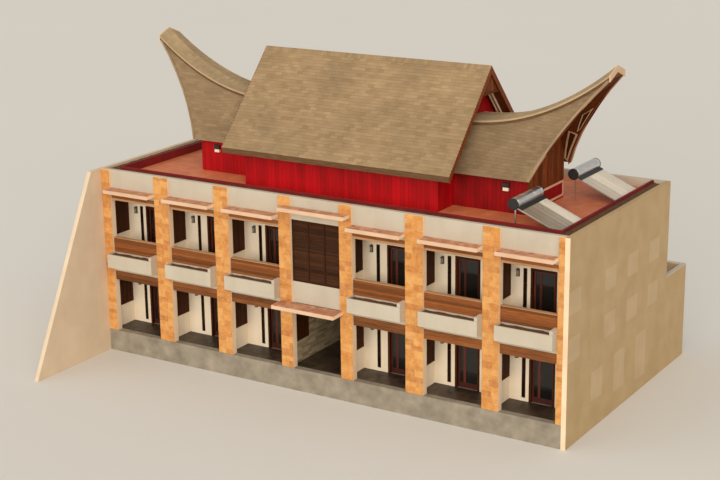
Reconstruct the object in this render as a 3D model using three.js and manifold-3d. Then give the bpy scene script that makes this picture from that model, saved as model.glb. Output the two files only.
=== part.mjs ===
// A rooftop tongkonan on a two-storey guest block, built as separate named pieces.
//
// Millimetres, +Z up. X runs along the front and Y from the front to the back.
// While building, x = 0 is the inner face of the left wall, y = 0 the front of the
// stone piers and z = 0 the ground floor. The last lines move the origin to the
// middle of the footprint, at the foot of the plinth.

import * as THREE from 'three';
import { mergeVertices } from 'three/addons/utils/BufferGeometryUtils.js';
import Module from 'manifold-3d';

const manifold = await Module();
manifold.setup();

// Block
const INNER_LENGTH = 21960;
const WALL = 200;
const TALL_DEPTH = 9790;
const FULL_DEPTH = 12050;
const FOOT = -960;
const UPPER_FLOOR = 3300;
const TERRACE = 6950;
const PARAPET_TOP = 7300;
const SLAB = 200;
const GLASS = 20;
const GLASS_LAP = 100;
const ANNEX_TOP = 3130;
const ANNEX_ROOF_TOP = 2930;
const FIN_TOP_Y = -620;
const FIN_FOOT_Y = -4710;

// Stone piers along the front: middle and width of each
const PIER_DEPTH = 300;
const PIERS = [
  { middle: 225, width: 450 },
  { middle: 3260, width: 760 },
  { middle: 6410, width: 720 },
  { middle: 9590, width: 580 },
  { middle: 12500, width: 580 },
  { middle: 15630, width: 800 },
  { middle: 18960, width: 720 },
  { middle: 21835, width: 250 },
];
const CENTRE_BAY = 4;

// Front band above the balconies
const FASCIA_Y = 120;
const FASCIA_FOOT = 5960;
const CENTRE_FASCIA_FOOT = 6350;

// Balconies
const ROOM_WALL_Y = 1500;
const ROOM_WALL = 150;
const DIVIDER = 180;
const DIVIDER_SHIFTS = { 1: -135, 5: -200 };
const GUARD = { back: 270, top: 4250 };
const TROUGH = { front: -400, foot: 3020, top: 3620, skin: 60 };
const LINTEL_FOOT = 2350;

// Doors and strip windows, and how far each stands from the divider at the left of its bay
const DOOR = { width: 1000, height: 2100, leaf: 45, setBack: 5, gap: 8, stile: 110, recess: 14 };
const LEAF_INSIDE_Y = ROOM_WALL_Y + ROOM_WALL - DOOR.setBack;
const STRIP_WINDOW = { width: 160, foot: 150, top: 2100 };
const ROOM_FRONTS = {
  1: { strip: 650, door: 1020 },
  2: { strip: 670, door: 1230 },
  3: { strip: 740, door: 1130 },
  5: { strip: 650, door: 1200 },
  6: { strip: 580, door: 970 },
  7: { strip: 530, door: 890 },
};

// Lift-off hinges of the room doors: the leaf's knuckle stands on the wall's
const HINGE = {
  standOff: 7, radius: 5, sides: 12, knuckle: 60, plate: 4, reach: 30, bite: 1, heights: [200, 1780],
};

// Canopies
const CANOPY = { reach: 450, fall: 10, thickness: 120, top: 6500 };
const CENTRE_CANOPY = { from: 9560, to: 12720, top: 6910 };
const ENTRANCE_CANOPY = { from: 9370, to: 12380, reach: 750, fall: 20, thickness: 120, top: 2870 };

// Middle bay
const SPANDREL = { foot: 2850, top: 3750 };
const SCREEN = { front: 150, thickness: 50 };

// Back
const REAR_WINDOW = { width: 1200, foot: 4300, top: 5400 };
const ANNEX_WINDOW = { width: 1200, foot: 1400, top: 2100 };
const PASSAGE_DOOR = { width: 1400, top: 2200 };

// Planting kerb round three sides of the terrace
const KERB = { offset: 450, thickness: 100 };

// Tongkonan on the terrace, in a frame whose middle is the middle of the house
const HOUSE_X = 10940;
const HOUSE_Y = 4900;
const BODY = { halfLength: 4630, halfDepth: 2900 };
const WING = { end: 7890, halfDepth: 1650 };
const TIMBER_WALL = 150;
const HALL_ARCH_TOP = 8300;
const GABLE_FOOT = 7700;
const MAIN_ROOF = { halfLength: 5425, halfDepth: 3440, eave: 8360, ridge: 12340, plumb: 220 };
const PROW = {
  eave: 8370, halfDepth: 1980, topHalf: 850, rise: 1750, skin: 170, deck: 150,
  eaveReach: 3420, tipReach: 6110, bow: 265, lift: 2230, sweep: 2.15, narrowing: 0.25,
  steps: 24, sideSteps: 6,
};
const RIDGE_CAP = { halfDepth: 920, edge: 170, crown: 230, swell: 3.7 };

// Solar water heaters
const HEATER = {
  tankX: 19380, tankZ: 8000, radius: 230, length: 2250, sides: 20,
  panelTop: 7960, panelFoot: 7130, panelEnd: 21350, panelThickness: 80, leg: 50, inset: 200,
};
const HEATER_STARTS = { front: 900, rear: 6250 };

// Play between two seated pieces, how far a cutter runs past the face that it cuts, and how
// near two corners of a geometry lie when they are one
const SEAT_GAP = 0.3;
const OVERCUT = 50;
const SAME_CORNER = 1e-3;

// Colours of the finishes
const FINISHES = {
  plaster: ['#d9cdb4', 0.9, 0],
  render: ['#b0926e', 0.92, 0],
  stone: ['#dfa25a', 0.85, 0],
  concrete: ['#a79c8a', 0.95, 0],
  tile: ['#b9664c', 0.7, 0],
  dark_timber: ['#46220f', 0.6, 0],
  plank: ['#6b3a20', 0.75, 0],
  red_board: ['#a30b1c', 0.6, 0],
  shingle: ['#8f7758', 0.95, 0],
  cap_shingle: ['#a58f72', 0.95, 0],
  glass: ['#2a2622', 0.15, 0],
  steel: ['#b9bcc0', 0.35, 0.8],
};

const building = new THREE.Group();
const house = new THREE.Group();
house.position.set(HOUSE_X, HOUSE_Y, 0);
building.add(house);

function finish(name) {
  const [color, roughness, metalness] = FINISHES[name];
  return new THREE.MeshStandardMaterial({ color, roughness, metalness });
}

function add(parent, name, geometry, finishName) {
  const mesh = new THREE.Mesh(geometry, finish(finishName));
  mesh.name = name;
  parent.add(mesh);
}

function box(x0, x1, y0, y1, z0, z1) {
  const geometry = new THREE.BoxGeometry(x1 - x0, y1 - y0, z1 - z0);
  return geometry.translate((x0 + x1) / 2, (y0 + y1) / 2, (z0 + z1) / 2);
}

function outline(points) {
  return new THREE.Shape(points.map(([a, b]) => new THREE.Vector2(a, b)));
}

// Prism along X of an outline given as [y, z] points.
function prismX(points, x0, x1, steps = 1) {
  const settings = { depth: x1 - x0, steps, bevelEnabled: false };
  const geometry = new THREE.ExtrudeGeometry(outline(points), settings);
  const toX = new THREE.Matrix4().makeBasis(
    new THREE.Vector3(0, 1, 0), new THREE.Vector3(0, 0, 1), new THREE.Vector3(1, 0, 0));
  return geometry.applyMatrix4(toX).translate(x0, 0, 0);
}

// Prism along Y of an outline given as [x, z] points.
function prismY(points, y0, y1) {
  const geometry = new THREE.ExtrudeGeometry(outline(points), { depth: y1 - y0, bevelEnabled: false });
  const toY = new THREE.Matrix4().makeBasis(
    new THREE.Vector3(1, 0, 0), new THREE.Vector3(0, 0, 1), new THREE.Vector3(0, -1, 0));
  return geometry.applyMatrix4(toY).translate(0, y1, 0);
}

// Prism along Z of an outline given as [x, y] points.
function prismZ(points, z0, z1) {
  const geometry = new THREE.ExtrudeGeometry(outline(points), { depth: z1 - z0, bevelEnabled: false });
  return geometry.translate(0, 0, z0);
}

function solid(geometry) {
  const bare = geometry.clone();
  bare.deleteAttribute('normal');
  bare.deleteAttribute('uv');
  const merged = mergeVertices(bare, SAME_CORNER);
  return new manifold.Manifold(new manifold.Mesh({
    numProp: 3,
    vertProperties: merged.attributes.position.array,
    triVerts: merged.index.array,
  }));
}

function surface(body) {
  const mesh = body.getMesh();
  const geometry = new THREE.BufferGeometry();
  geometry.setAttribute('position', new THREE.BufferAttribute(mesh.vertProperties, 3));
  geometry.setIndex(new THREE.BufferAttribute(mesh.triVerts, 1));
  const faceted = geometry.toNonIndexed();
  faceted.computeVertexNormals();
  return faceted;
}

function join(geometries) {
  return geometries.map(solid).reduce((whole, piece) => whole.add(piece));
}

function cut(body, geometries) {
  return geometries.map(solid).reduce((whole, piece) => whole.subtract(piece), body);
}

// The same piece at the other end of the house: half a turn about its middle.
function otherEnd(geometry) {
  return geometry.clone().applyMatrix4(new THREE.Matrix4().makeScale(-1, -1, 1));
}

function pierLeft(n) {
  return PIERS[n - 1].middle - PIERS[n - 1].width / 2;
}

function pierRight(n) {
  return PIERS[n - 1].middle + PIERS[n - 1].width / 2;
}

// Middle of the divider at the left of a bay. Most stand behind the middle of their pier.
function dividerMiddle(n) {
  return PIERS[n - 1].middle + (DIVIDER_SHIFTS[n] ?? 0);
}

// Left side of a bay's door.
function doorStart(n) {
  return dividerMiddle(n) + DIVIDER / 2 + ROOM_FRONTS[n].door;
}

// Left side of a bay's strip window.
function stripStart(n) {
  return dividerMiddle(n) + DIVIDER / 2 + ROOM_FRONTS[n].strip;
}

function allBays() {
  return PIERS.slice(1).map((pier, i) => i + 1);
}

function sideBays() {
  return allBays().filter((n) => n !== CENTRE_BAY);
}

// Plinth, outer walls and floors

function addPlinth() {
  add(building, 'plinth', box(0, INNER_LENGTH, 0, FULL_DEPTH - WALL, FOOT, 0), 'concrete');
}

function addSideWalls() {
  const back = [[FULL_DEPTH, FOOT], [FULL_DEPTH, ANNEX_TOP], [TALL_DEPTH, ANNEX_TOP],
    [TALL_DEPTH, PARAPET_TOP]];
  const plain = [[0, FOOT], ...back, [0, PARAPET_TOP]];
  const withFin = [[FIN_FOOT_Y, FOOT], ...back, [FIN_TOP_Y, PARAPET_TOP]];
  add(building, 'left_side_wall', prismX(withFin, -WALL, 0), 'render');
  add(building, 'right_side_wall', prismX(plain, INNER_LENGTH, INNER_LENGTH + WALL), 'render');
}

function bayMiddle(n) {
  return Math.round((PIERS[n - 1].middle + PIERS[n].middle) / 2);
}

function windowHoles(window, front, back, bays) {
  const half = window.width / 2;
  return bays.map((n) => box(bayMiddle(n) - half, bayMiddle(n) + half, front - OVERCUT, back + OVERCUT,
    window.foot, window.top));
}

// One sheet of glass that closes all the windows of a back wall from inside.
function glassBehind(window, y) {
  const side = window.width / 2 + GLASS_LAP;
  return box(bayMiddle(1) - side, bayMiddle(PIERS.length - 1) + side, y - GLASS, y,
    window.foot - GLASS_LAP, window.top + GLASS_LAP);
}

function addRearWall() {
  const front = TALL_DEPTH - WALL;
  const wall = solid(box(0, INNER_LENGTH, front, TALL_DEPTH, 0, PARAPET_TOP));
  const middle = bayMiddle(CENTRE_BAY);
  const half = PASSAGE_DOOR.width / 2;
  const doorway = box(middle - half, middle + half, front - OVERCUT, TALL_DEPTH + OVERCUT,
    -OVERCUT, PASSAGE_DOOR.top);
  const holes = windowHoles(REAR_WINDOW, front, TALL_DEPTH, allBays());
  add(building, 'rear_wall', surface(cut(wall, [...holes, doorway])), 'plaster');
  add(building, 'rear_glazing', glassBehind(REAR_WINDOW, front), 'glass');
}

function addAnnex() {
  const front = FULL_DEPTH - WALL;
  const wall = solid(box(0, INNER_LENGTH, front, FULL_DEPTH, FOOT, ANNEX_TOP));
  const holes = windowHoles(ANNEX_WINDOW, front, FULL_DEPTH, sideBays());
  add(building, 'annex_rear_wall', surface(cut(wall, holes)), 'render');
  add(building, 'annex_roof',
    box(0, INNER_LENGTH, TALL_DEPTH, front, ANNEX_ROOF_TOP - SLAB, ANNEX_ROOF_TOP), 'concrete');
  add(building, 'annex_glazing', glassBehind(ANNEX_WINDOW, front), 'glass');
}

function addFloors() {
  const floor = (top) => box(0, INNER_LENGTH, PIER_DEPTH, TALL_DEPTH - WALL, top - SLAB, top);
  add(building, 'upper_floor', floor(UPPER_FLOOR), 'concrete');
  add(building, 'terrace_floor', floor(TERRACE), 'tile');
}

// Street front

// A pier is thinner behind the front band, which runs on past its back.
function addPiers() {
  const side = [[0, 0], [PIER_DEPTH, 0], [PIER_DEPTH, FASCIA_FOOT], [FASCIA_Y, FASCIA_FOOT],
    [FASCIA_Y, PARAPET_TOP], [0, PARAPET_TOP]];
  PIERS.forEach((pier, i) => {
    add(building, `pier_${i + 1}`, prismX(side, pierLeft(i + 1), pierRight(i + 1)), 'stone');
  });
}

function addFascia() {
  const left = pierRight(CENTRE_BAY);
  const right = pierLeft(CENTRE_BAY + 1);
  const face = [[0, FASCIA_FOOT], [left, FASCIA_FOOT], [left, CENTRE_FASCIA_FOOT],
    [right, CENTRE_FASCIA_FOOT], [right, FASCIA_FOOT], [INNER_LENGTH, FASCIA_FOOT],
    [INNER_LENGTH, PARAPET_TOP], [0, PARAPET_TOP]];
  add(building, 'front_fascia', prismY(face, FASCIA_Y, PIER_DEPTH), 'plaster');
}

// Guard, planting trough and lintel of one balcony, cast as one piece between two piers.
function balconyGeometry(n) {
  const left = pierRight(n);
  const right = pierLeft(n + 1);
  const shell = join([
    box(left, right, TROUGH.front, PIER_DEPTH, TROUGH.foot, UPPER_FLOOR),
    box(left, right, TROUGH.front, FASCIA_Y, TROUGH.foot, TROUGH.top),
    box(left, right, FASCIA_Y, GUARD.back, LINTEL_FOOT, GUARD.top),
  ]);
  const bed = box(left + TROUGH.skin, right - TROUGH.skin, TROUGH.front + TROUGH.skin, FASCIA_Y,
    TROUGH.foot + TROUGH.skin, TROUGH.top + OVERCUT);
  return surface(cut(shell, [bed]));
}

function addBalconies() {
  sideBays().forEach((n) => add(building, `balcony_${n}`, balconyGeometry(n), 'plaster'));
}

function addMiddleBay() {
  const left = pierRight(CENTRE_BAY);
  const right = pierLeft(CENTRE_BAY + 1);
  add(building, 'centre_spandrel',
    box(left, right, FASCIA_Y, PIER_DEPTH, SPANDREL.foot, SPANDREL.top), 'plaster');
  add(building, 'centre_screen',
    box(left, right, SCREEN.front, SCREEN.front + SCREEN.thickness, SPANDREL.top, CENTRE_FASCIA_FOOT),
    'dark_timber');
}

function canopyGeometry(from, to, back, shape) {
  const edge = shape.top - shape.fall;
  const profile = [[-shape.reach, edge - shape.thickness], [back, shape.top - shape.thickness],
    [back, shape.top], [-shape.reach, edge]];
  return prismX(profile, from, to);
}

function addCanopies() {
  sideBays().forEach((n) => {
    const geometry = canopyGeometry(pierRight(n), pierLeft(n + 1), FASCIA_Y, CANOPY);
    add(building, `canopy_${n}`, geometry, 'tile');
  });
  const centre = { ...CANOPY, top: CENTRE_CANOPY.top };
  add(building, `canopy_${CENTRE_BAY}`,
    canopyGeometry(CENTRE_CANOPY.from, CENTRE_CANOPY.to, 0, centre), 'tile');
  add(building, 'entrance_canopy',
    canopyGeometry(ENTRANCE_CANOPY.from, ENTRANCE_CANOPY.to, 0, ENTRANCE_CANOPY), 'tile');
}

// Room walls behind the balconies

function roomHoles(bays, floor) {
  const y0 = ROOM_WALL_Y - OVERCUT;
  const y1 = ROOM_WALL_Y + ROOM_WALL + OVERCUT;
  return bays.flatMap((n) => {
    const door = doorStart(n);
    const strip = stripStart(n);
    const { width, foot, top } = STRIP_WINDOW;
    return [
      box(door, door + DOOR.width, y0, y1, floor - OVERCUT, floor + DOOR.height),
      box(strip, strip + width, y0, y1, floor + foot, floor + top),
    ];
  });
}

// Upright line that the leaf of a bay's door turns on, as [x, y].
function hingeLine(n) {
  return [doorStart(n) + DOOR.gap / 2, ROOM_WALL_Y + ROOM_WALL + HINGE.standOff];
}

// Knuckles of one half of a door's hinges. Their plate runs from the hinge line to one side,
// and reaches from inside the wall or the leaf out to the knuckle.
function hingeHalves(n, side, plateBack, lift) {
  const [x, y] = hingeLine(n);
  const plateFront = ROOM_WALL_Y + ROOM_WALL + HINGE.plate;
  return HINGE.heights.flatMap((height) => {
    const foot = height + lift;
    const knuckle = new THREE.CylinderGeometry(HINGE.radius, HINGE.radius, HINGE.knuckle, HINGE.sides)
      .rotateX(Math.PI / 2).translate(x, y, foot + HINGE.knuckle / 2);
    const plate = box(Math.min(x, x + side * HINGE.reach), Math.max(x, x + side * HINGE.reach),
      plateBack, plateFront, foot, foot + HINGE.knuckle);
    return [knuckle, plate];
  });
}

function dividerBox(n, floor, ceiling, back) {
  const middle = dividerMiddle(n);
  return box(middle - DIVIDER / 2, middle + DIVIDER / 2, PIER_DEPTH, back, floor, ceiling);
}

// One comb-shaped wall: the room front with the balcony dividers that stand before it.
// A passage wall is a divider that runs on to the back of the block.
function roomWalls({ bays, dividers, from, to, floor, ceiling, passage, hinged }) {
  const front = box(from, to, ROOM_WALL_Y, ROOM_WALL_Y + ROOM_WALL, floor, ceiling);
  const back = (n) => (n === passage ? TALL_DEPTH - WALL : ROOM_WALL_Y);
  const walls = join([front, ...dividers.map((n) => dividerBox(n, floor, ceiling, back(n)))]);
  const pierced = cut(walls, roomHoles(bays, floor));
  const plateBack = ROOM_WALL_Y + ROOM_WALL - HINGE.bite;
  const hinges = hinged ? bays.flatMap((n) => hingeHalves(n, -1, plateBack, 0)) : [];
  return surface(hinges.map(solid).reduce((whole, piece) => whole.add(piece), pierced));
}

function addRooms() {
  const leftEnd = dividerMiddle(4) + DIVIDER / 2;
  const rightStart = dividerMiddle(5) - DIVIDER / 2;
  const left = { bays: [1, 2, 3], dividers: [1, 2, 3, 4], from: 0, to: leftEnd };
  const right = { bays: [5, 6, 7], dividers: [5, 6, 7], from: rightStart, to: INNER_LENGTH };
  const lower = { floor: 0, ceiling: UPPER_FLOOR - SLAB, hinged: true };
  const upper = { floor: UPPER_FLOOR, ceiling: TERRACE - SLAB, hinged: false };
  add(building, 'lower_rooms_left', roomWalls({ ...left, ...lower, passage: 4 }), 'plaster');
  add(building, 'lower_rooms_right', roomWalls({ ...right, ...lower, passage: 5 }), 'plaster');
  add(building, 'upper_rooms_left', roomWalls({ ...left, ...upper }), 'plaster');
  add(building, 'upper_rooms_right', roomWalls({ ...right, ...upper }), 'plaster');
}

function addUpperGlazing() {
  const y0 = ROOM_WALL_Y + ROOM_WALL;
  const foot = UPPER_FLOOR;
  const top = UPPER_FLOOR + DOOR.height + GLASS_LAP;
  const sheet = (first, last) => box(stripStart(first) - GLASS_LAP,
    doorStart(last) + DOOR.width + GLASS_LAP, y0, y0 + GLASS, foot, top);
  add(building, 'upper_glazing_left', sheet(1, 3), 'glass');
  add(building, 'upper_glazing_right', sheet(5, 7), 'glass');
}

// Framed door leaf with a sunk glazed field on both faces.
function leafGeometry(n) {
  const left = doorStart(n) + DOOR.gap;
  const right = left + DOOR.width - 2 * DOOR.gap;
  const outside = LEAF_INSIDE_Y - DOOR.leaf;
  const top = DOOR.height - DOOR.gap;
  const field = (y0, y1) => box(left + DOOR.stile, right - DOOR.stile, y0, y1,
    DOOR.gap + 2 * DOOR.stile, top - DOOR.stile);
  const leaf = cut(solid(box(left, right, outside, LEAF_INSIDE_Y, DOOR.gap, top)), [
    field(outside - OVERCUT, outside + DOOR.recess),
    field(LEAF_INSIDE_Y - DOOR.recess, LEAF_INSIDE_Y + OVERCUT),
  ]);
  const hinges = hingeHalves(n, 1, LEAF_INSIDE_Y - HINGE.bite, HINGE.knuckle + SEAT_GAP);
  return surface(leaf.add(join(hinges)));
}

function addDoors() {
  sideBays().forEach((n) => add(building, `door_${n}`, leafGeometry(n), 'dark_timber'));
}

// Terrace

function addKerb() {
  const x0 = KERB.offset;
  const x1 = INNER_LENGTH - KERB.offset;
  const y0 = PIER_DEPTH + KERB.offset;
  const back = TALL_DEPTH - WALL;
  const t = KERB.thickness;
  const plan = [[x0, y0], [x1, y0], [x1, back], [x1 - t, back], [x1 - t, y0 + t], [x0 + t, y0 + t],
    [x0 + t, back], [x0, back]];
  add(building, 'terrace_kerb', prismZ(plan, TERRACE, PARAPET_TOP), 'red_board');
}

function heaterGeometry(start) {
  const end = start + HEATER.length;
  const { tankX, tankZ, radius, panelTop, panelFoot, panelEnd, panelThickness, leg, inset } = HEATER;
  const tank = new THREE.CylinderGeometry(radius, radius, HEATER.length, HEATER.sides)
    .translate(tankX, (start + end) / 2, tankZ);
  const head = tankX + radius / 3;
  const panel = prismY([[head, panelTop - panelThickness], [panelEnd, panelFoot - panelThickness],
    [panelEnd, panelFoot], [head, panelTop]], start + inset / 2, end - inset / 2);
  const legs = [start + inset, end - inset - leg].flatMap((y) => [
    box(tankX - leg / 2, tankX + leg / 2, y, y + leg, TERRACE, tankZ - radius / 2),
    box(panelEnd - 2 * leg, panelEnd - leg, y, y + leg, TERRACE, panelFoot - panelThickness / 2),
  ]);
  return surface(join([tank, panel, ...legs]));
}

function addHeaters() {
  add(building, 'solar_heater_front', heaterGeometry(HEATER_STARTS.front), 'steel');
  add(building, 'solar_heater_rear', heaterGeometry(HEATER_STARTS.rear), 'steel');
}

// Tongkonan roofs

function addMainRoof() {
  const { halfLength, halfDepth, eave, ridge, plumb } = MAIN_ROOF;
  const chevron = [[-halfDepth, eave], [0, ridge - plumb], [halfDepth, eave],
    [halfDepth, eave + plumb], [0, ridge], [-halfDepth, eave + plumb]];
  add(house, 'main_roof', prismX(chevron, -halfLength, halfLength), 'shingle');
}

function prowLift(t) {
  return PROW.lift * Math.pow(t, PROW.sweep);
}

// How far the end of the prow reaches past the hall, at a share of the way up its side.
// The end leans out to the tip and bows in between the eave and the tip.
function prowReach(up) {
  return PROW.eaveReach + up * (PROW.tipReach - PROW.eaveReach) - 4 * PROW.bow * up * (1 - up);
}

// Bends a prism of unit length into the upswept prow: its foot stays level at the eave,
// its top rises and runs on to the tip, what lies over the deck keeps its thickness,
// and the ridge of the cap grows steeper towards the tip.
function sweepProw(geometry) {
  const position = geometry.attributes.position;
  for (let i = 0; i < position.count; i += 1) {
    const t = position.getX(i);
    const z = position.getZ(i);
    const onRoof = Math.min(Math.max(z, 0) / PROW.rise, 1);
    const overCapEdge = Math.max(z - PROW.rise - RIDGE_CAP.edge - SEAT_GAP, 0);
    position.setXYZ(i,
      BODY.halfLength + t * prowReach(onRoof),
      position.getY(i) * (1 - PROW.narrowing * t * onRoof),
      PROW.eave + z + onRoof * prowLift(t) + overCapEdge * RIDGE_CAP.swell * t * t);
  }
  geometry.computeVertexNormals();
  return geometry;
}

// Divides the long edges of a prow's outline, from the eave to the deck, so that they can bow.
function divideSides(points) {
  return points.flatMap(([y, z], i) => {
    const [nextY, nextZ] = points[(i + 1) % points.length];
    const isSide = Math.min(z, nextZ) === 0 && Math.max(z, nextZ) > 0;
    const count = isSide ? PROW.sideSteps : 1;
    return Array.from({ length: count }, (_, k) => [
      y + (nextY - y) * k / count, z + (nextZ - z) * k / count]);
  });
}

// Skin and deck of the prow. Its hollow is drawn in by the given play on every side.
function prowShell(play) {
  const { halfDepth, topHalf, rise, skin, deck, steps } = PROW;
  const low = halfDepth - skin - play;
  const high = topHalf - skin - play;
  const top = rise - deck - play;
  return sweepProw(prismX(divideSides([[-halfDepth, 0], [-low, 0], [-high, top], [high, top],
    [low, 0], [halfDepth, 0], [topHalf, rise], [-topHalf, rise]]), 0, 1, steps));
}

// All the room under the prow, down to the terrace.
function underProw() {
  const { halfDepth, topHalf, rise, skin, deck, steps } = PROW;
  const foot = TERRACE - PROW.eave - OVERCUT;
  const low = halfDepth - skin / 2;
  const high = topHalf - skin / 2;
  const top = rise - deck / 2;
  const filled = sweepProw(prismX(divideSides([[-low, foot], [low, foot], [low, 0], [high, top],
    [-high, top], [-low, 0]]), 0, 1, steps));
  return solid(filled).subtract(solid(prowShell(2 * SEAT_GAP)));
}

function ridgeCap() {
  const { halfDepth, edge, crown } = RIDGE_CAP;
  const foot = PROW.rise + SEAT_GAP;
  return sweepProw(prismX([[-halfDepth, foot], [halfDepth, foot], [halfDepth, foot + edge],
    [0, foot + crown], [-halfDepth, foot + edge]], 0, 1, PROW.steps));
}

function addProws() {
  add(house, 'prow_roof_right', prowShell(0), 'shingle');
  add(house, 'prow_roof_left', otherEnd(prowShell(0)), 'shingle');
  add(house, 'ridge_cap_right', ridgeCap(), 'cap_shingle');
  add(house, 'ridge_cap_left', otherEnd(ridgeCap()), 'cap_shingle');
}

// Tongkonan walls

function bodyPrism() {
  const { halfLength, halfDepth } = BODY;
  const pitch = (MAIN_ROOF.ridge - MAIN_ROOF.plumb - MAIN_ROOF.eave) / MAIN_ROOF.halfDepth;
  const underside = (y) => MAIN_ROOF.eave - 2 * SEAT_GAP + (MAIN_ROOF.halfDepth - y) * pitch;
  return prismX([[-halfDepth, TERRACE], [halfDepth, TERRACE], [halfDepth, underside(halfDepth)],
    [0, underside(0)], [-halfDepth, underside(halfDepth)]], -halfLength, halfLength);
}

function wingWalls() {
  const { end, halfDepth } = WING;
  const start = BODY.halfLength;
  const high = MAIN_ROOF.ridge;
  const t = TIMBER_WALL;
  const sides = join([
    box(start, end, -halfDepth, -halfDepth + t, TERRACE, high),
    box(start, end, halfDepth - t, halfDepth, TERRACE, high),
  ]).intersect(underProw());
  const aboveGableFoot = box(end - t, end + OVERCUT, -halfDepth - OVERCUT, halfDepth + OVERCUT,
    GABLE_FOOT, high + OVERCUT);
  return cut(sides, [aboveGableFoot])
    .add(solid(box(end - t, end, -halfDepth, halfDepth, TERRACE, GABLE_FOOT)));
}

function addHouseWalls() {
  const t = TIMBER_WALL;
  const { halfLength, halfDepth } = BODY;
  const wing = surface(wingWalls());
  const hall = box(-halfLength + t, halfLength - t, -halfDepth + t, halfDepth - t,
    TERRACE - OVERCUT, MAIN_ROOF.ridge + OVERCUT);
  const arches = box(-halfLength - OVERCUT, halfLength + OVERCUT, -WING.halfDepth + t,
    WING.halfDepth - t, TERRACE - OVERCUT, HALL_ARCH_TOP);
  const body = cut(solid(bodyPrism()), [hall, arches]);
  const walls = body.add(solid(wing)).add(solid(otherEnd(wing)));
  add(house, 'house_walls', surface(walls), 'red_board');
}

function addGables() {
  const { end, halfDepth } = WING;
  const panel = solid(box(end - TIMBER_WALL, end, -halfDepth, halfDepth, GABLE_FOOT, MAIN_ROOF.ridge));
  const gable = surface(panel.intersect(underProw()));
  add(house, 'gable_wall_right', gable, 'plank');
  add(house, 'gable_wall_left', otherEnd(gable), 'plank');
}

addPlinth();
addSideWalls();
addRearWall();
addAnnex();
addFloors();
addPiers();
addFascia();
addBalconies();
addMiddleBay();
addCanopies();
addRooms();
addUpperGlazing();
addDoors();
addKerb();
addHeaters();
addMainRoof();
addProws();
addHouseWalls();
addGables();

building.position.set(-(INNER_LENGTH / 2), -(FIN_FOOT_Y + FULL_DEPTH) / 2, -FOOT);

export default building;
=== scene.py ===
"""Looks of a tongkonan house that stands on the roof terrace of a two-storey guest block."""
import math
import random

import bmesh
import bpy
from mathutils import Matrix, Vector


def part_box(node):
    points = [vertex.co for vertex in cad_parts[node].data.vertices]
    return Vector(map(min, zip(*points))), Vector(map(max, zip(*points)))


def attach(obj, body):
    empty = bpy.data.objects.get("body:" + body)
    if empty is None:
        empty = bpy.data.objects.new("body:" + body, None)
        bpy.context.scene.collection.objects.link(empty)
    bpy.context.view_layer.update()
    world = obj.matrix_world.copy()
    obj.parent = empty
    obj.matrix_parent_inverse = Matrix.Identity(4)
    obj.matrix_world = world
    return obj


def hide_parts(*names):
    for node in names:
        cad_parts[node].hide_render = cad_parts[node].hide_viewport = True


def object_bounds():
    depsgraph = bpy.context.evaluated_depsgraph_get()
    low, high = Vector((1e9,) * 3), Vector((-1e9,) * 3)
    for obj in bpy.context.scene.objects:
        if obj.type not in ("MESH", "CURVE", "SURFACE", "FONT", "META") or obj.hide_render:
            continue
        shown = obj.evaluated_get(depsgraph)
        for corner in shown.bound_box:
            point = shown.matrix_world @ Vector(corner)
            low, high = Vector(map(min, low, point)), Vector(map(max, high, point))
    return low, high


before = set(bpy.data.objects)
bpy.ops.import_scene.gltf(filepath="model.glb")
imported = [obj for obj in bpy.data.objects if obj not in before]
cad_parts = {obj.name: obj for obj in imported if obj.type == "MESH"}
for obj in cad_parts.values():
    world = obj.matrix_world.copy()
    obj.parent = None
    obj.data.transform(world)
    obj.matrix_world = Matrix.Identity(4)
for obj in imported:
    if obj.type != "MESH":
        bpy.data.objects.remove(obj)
CAD_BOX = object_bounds()
rng = random.Random(11)

# Building frame: x from the left wall's inner face, y from the front of the piers, z from the ground floor
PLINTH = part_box("plinth")
START = Vector((PLINTH[0].x, PLINTH[0].y, PLINTH[1].z))


def at(x, y, z):
    """A point of the building frame, in the frame that all pieces share."""
    return START + Vector((x, y, z))


def corners(node):
    """Lowest and highest corner of a CAD node, in the building frame."""
    low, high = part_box(node)
    return low - START, high - START


LENGTH = corners("plinth")[1].x
UPPER_FLOOR = corners("upper_floor")[1].z
TERRACE = corners("terrace_floor")[1].z
PARAPET = corners("front_fascia")[1].z
FASCIA_Y = corners("front_fascia")[0].y
FASCIA_FOOT = corners("front_fascia")[0].z
ROOM_WALL_BACK = corners("upper_glazing_left")[0].y
ROOM_WALL_FRONT = ROOM_WALL_BACK - 0.15
PIER_BACK = corners("pier_1")[1].y
GUARD_BACK = corners("balcony_1")[1].y
REAR = corners("rear_wall")[1].y
ANNEX_REAR = corners("annex_rear_wall")[1].y
ANNEX_TOP = corners("annex_rear_wall")[1].z
SIDE_WALL, TROUGH_TOP = 0.2, 3.62
MIDDLE_BAY, SIDE_BAYS = 4, (1, 2, 3, 5, 6, 7)

# Dividing walls between the bays' rooms, and how far two of them stand from their pier's middle
DIVIDER = 0.18
DIVIDER_SHIFTS = {1: -0.135, 5: -0.2}

# Doors and strip windows, and how far each stands from the divider at the left of its bay
DOOR_STARTS = {1: 1.02, 2: 1.23, 3: 1.13, 5: 1.2, 6: 0.97, 7: 0.89}
DOOR_WIDTH, DOOR_HEIGHT, DOOR_GAP = 1.0, 2.1, 0.008
LEAF_OUTSIDE, LEAF_INSIDE = ROOM_WALL_BACK - 0.05, ROOM_WALL_BACK - 0.005
STILE, MIDDLE_STILE, RECESS = 0.11, 0.27, 0.014
STRIP_STARTS = {1: 0.65, 2: 0.67, 3: 0.74, 5: 0.65, 6: 0.58, 7: 0.53}
STRIP_WIDTH, STRIP_FOOT, STRIP_TOP = 0.16, 0.15, 2.1

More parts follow.
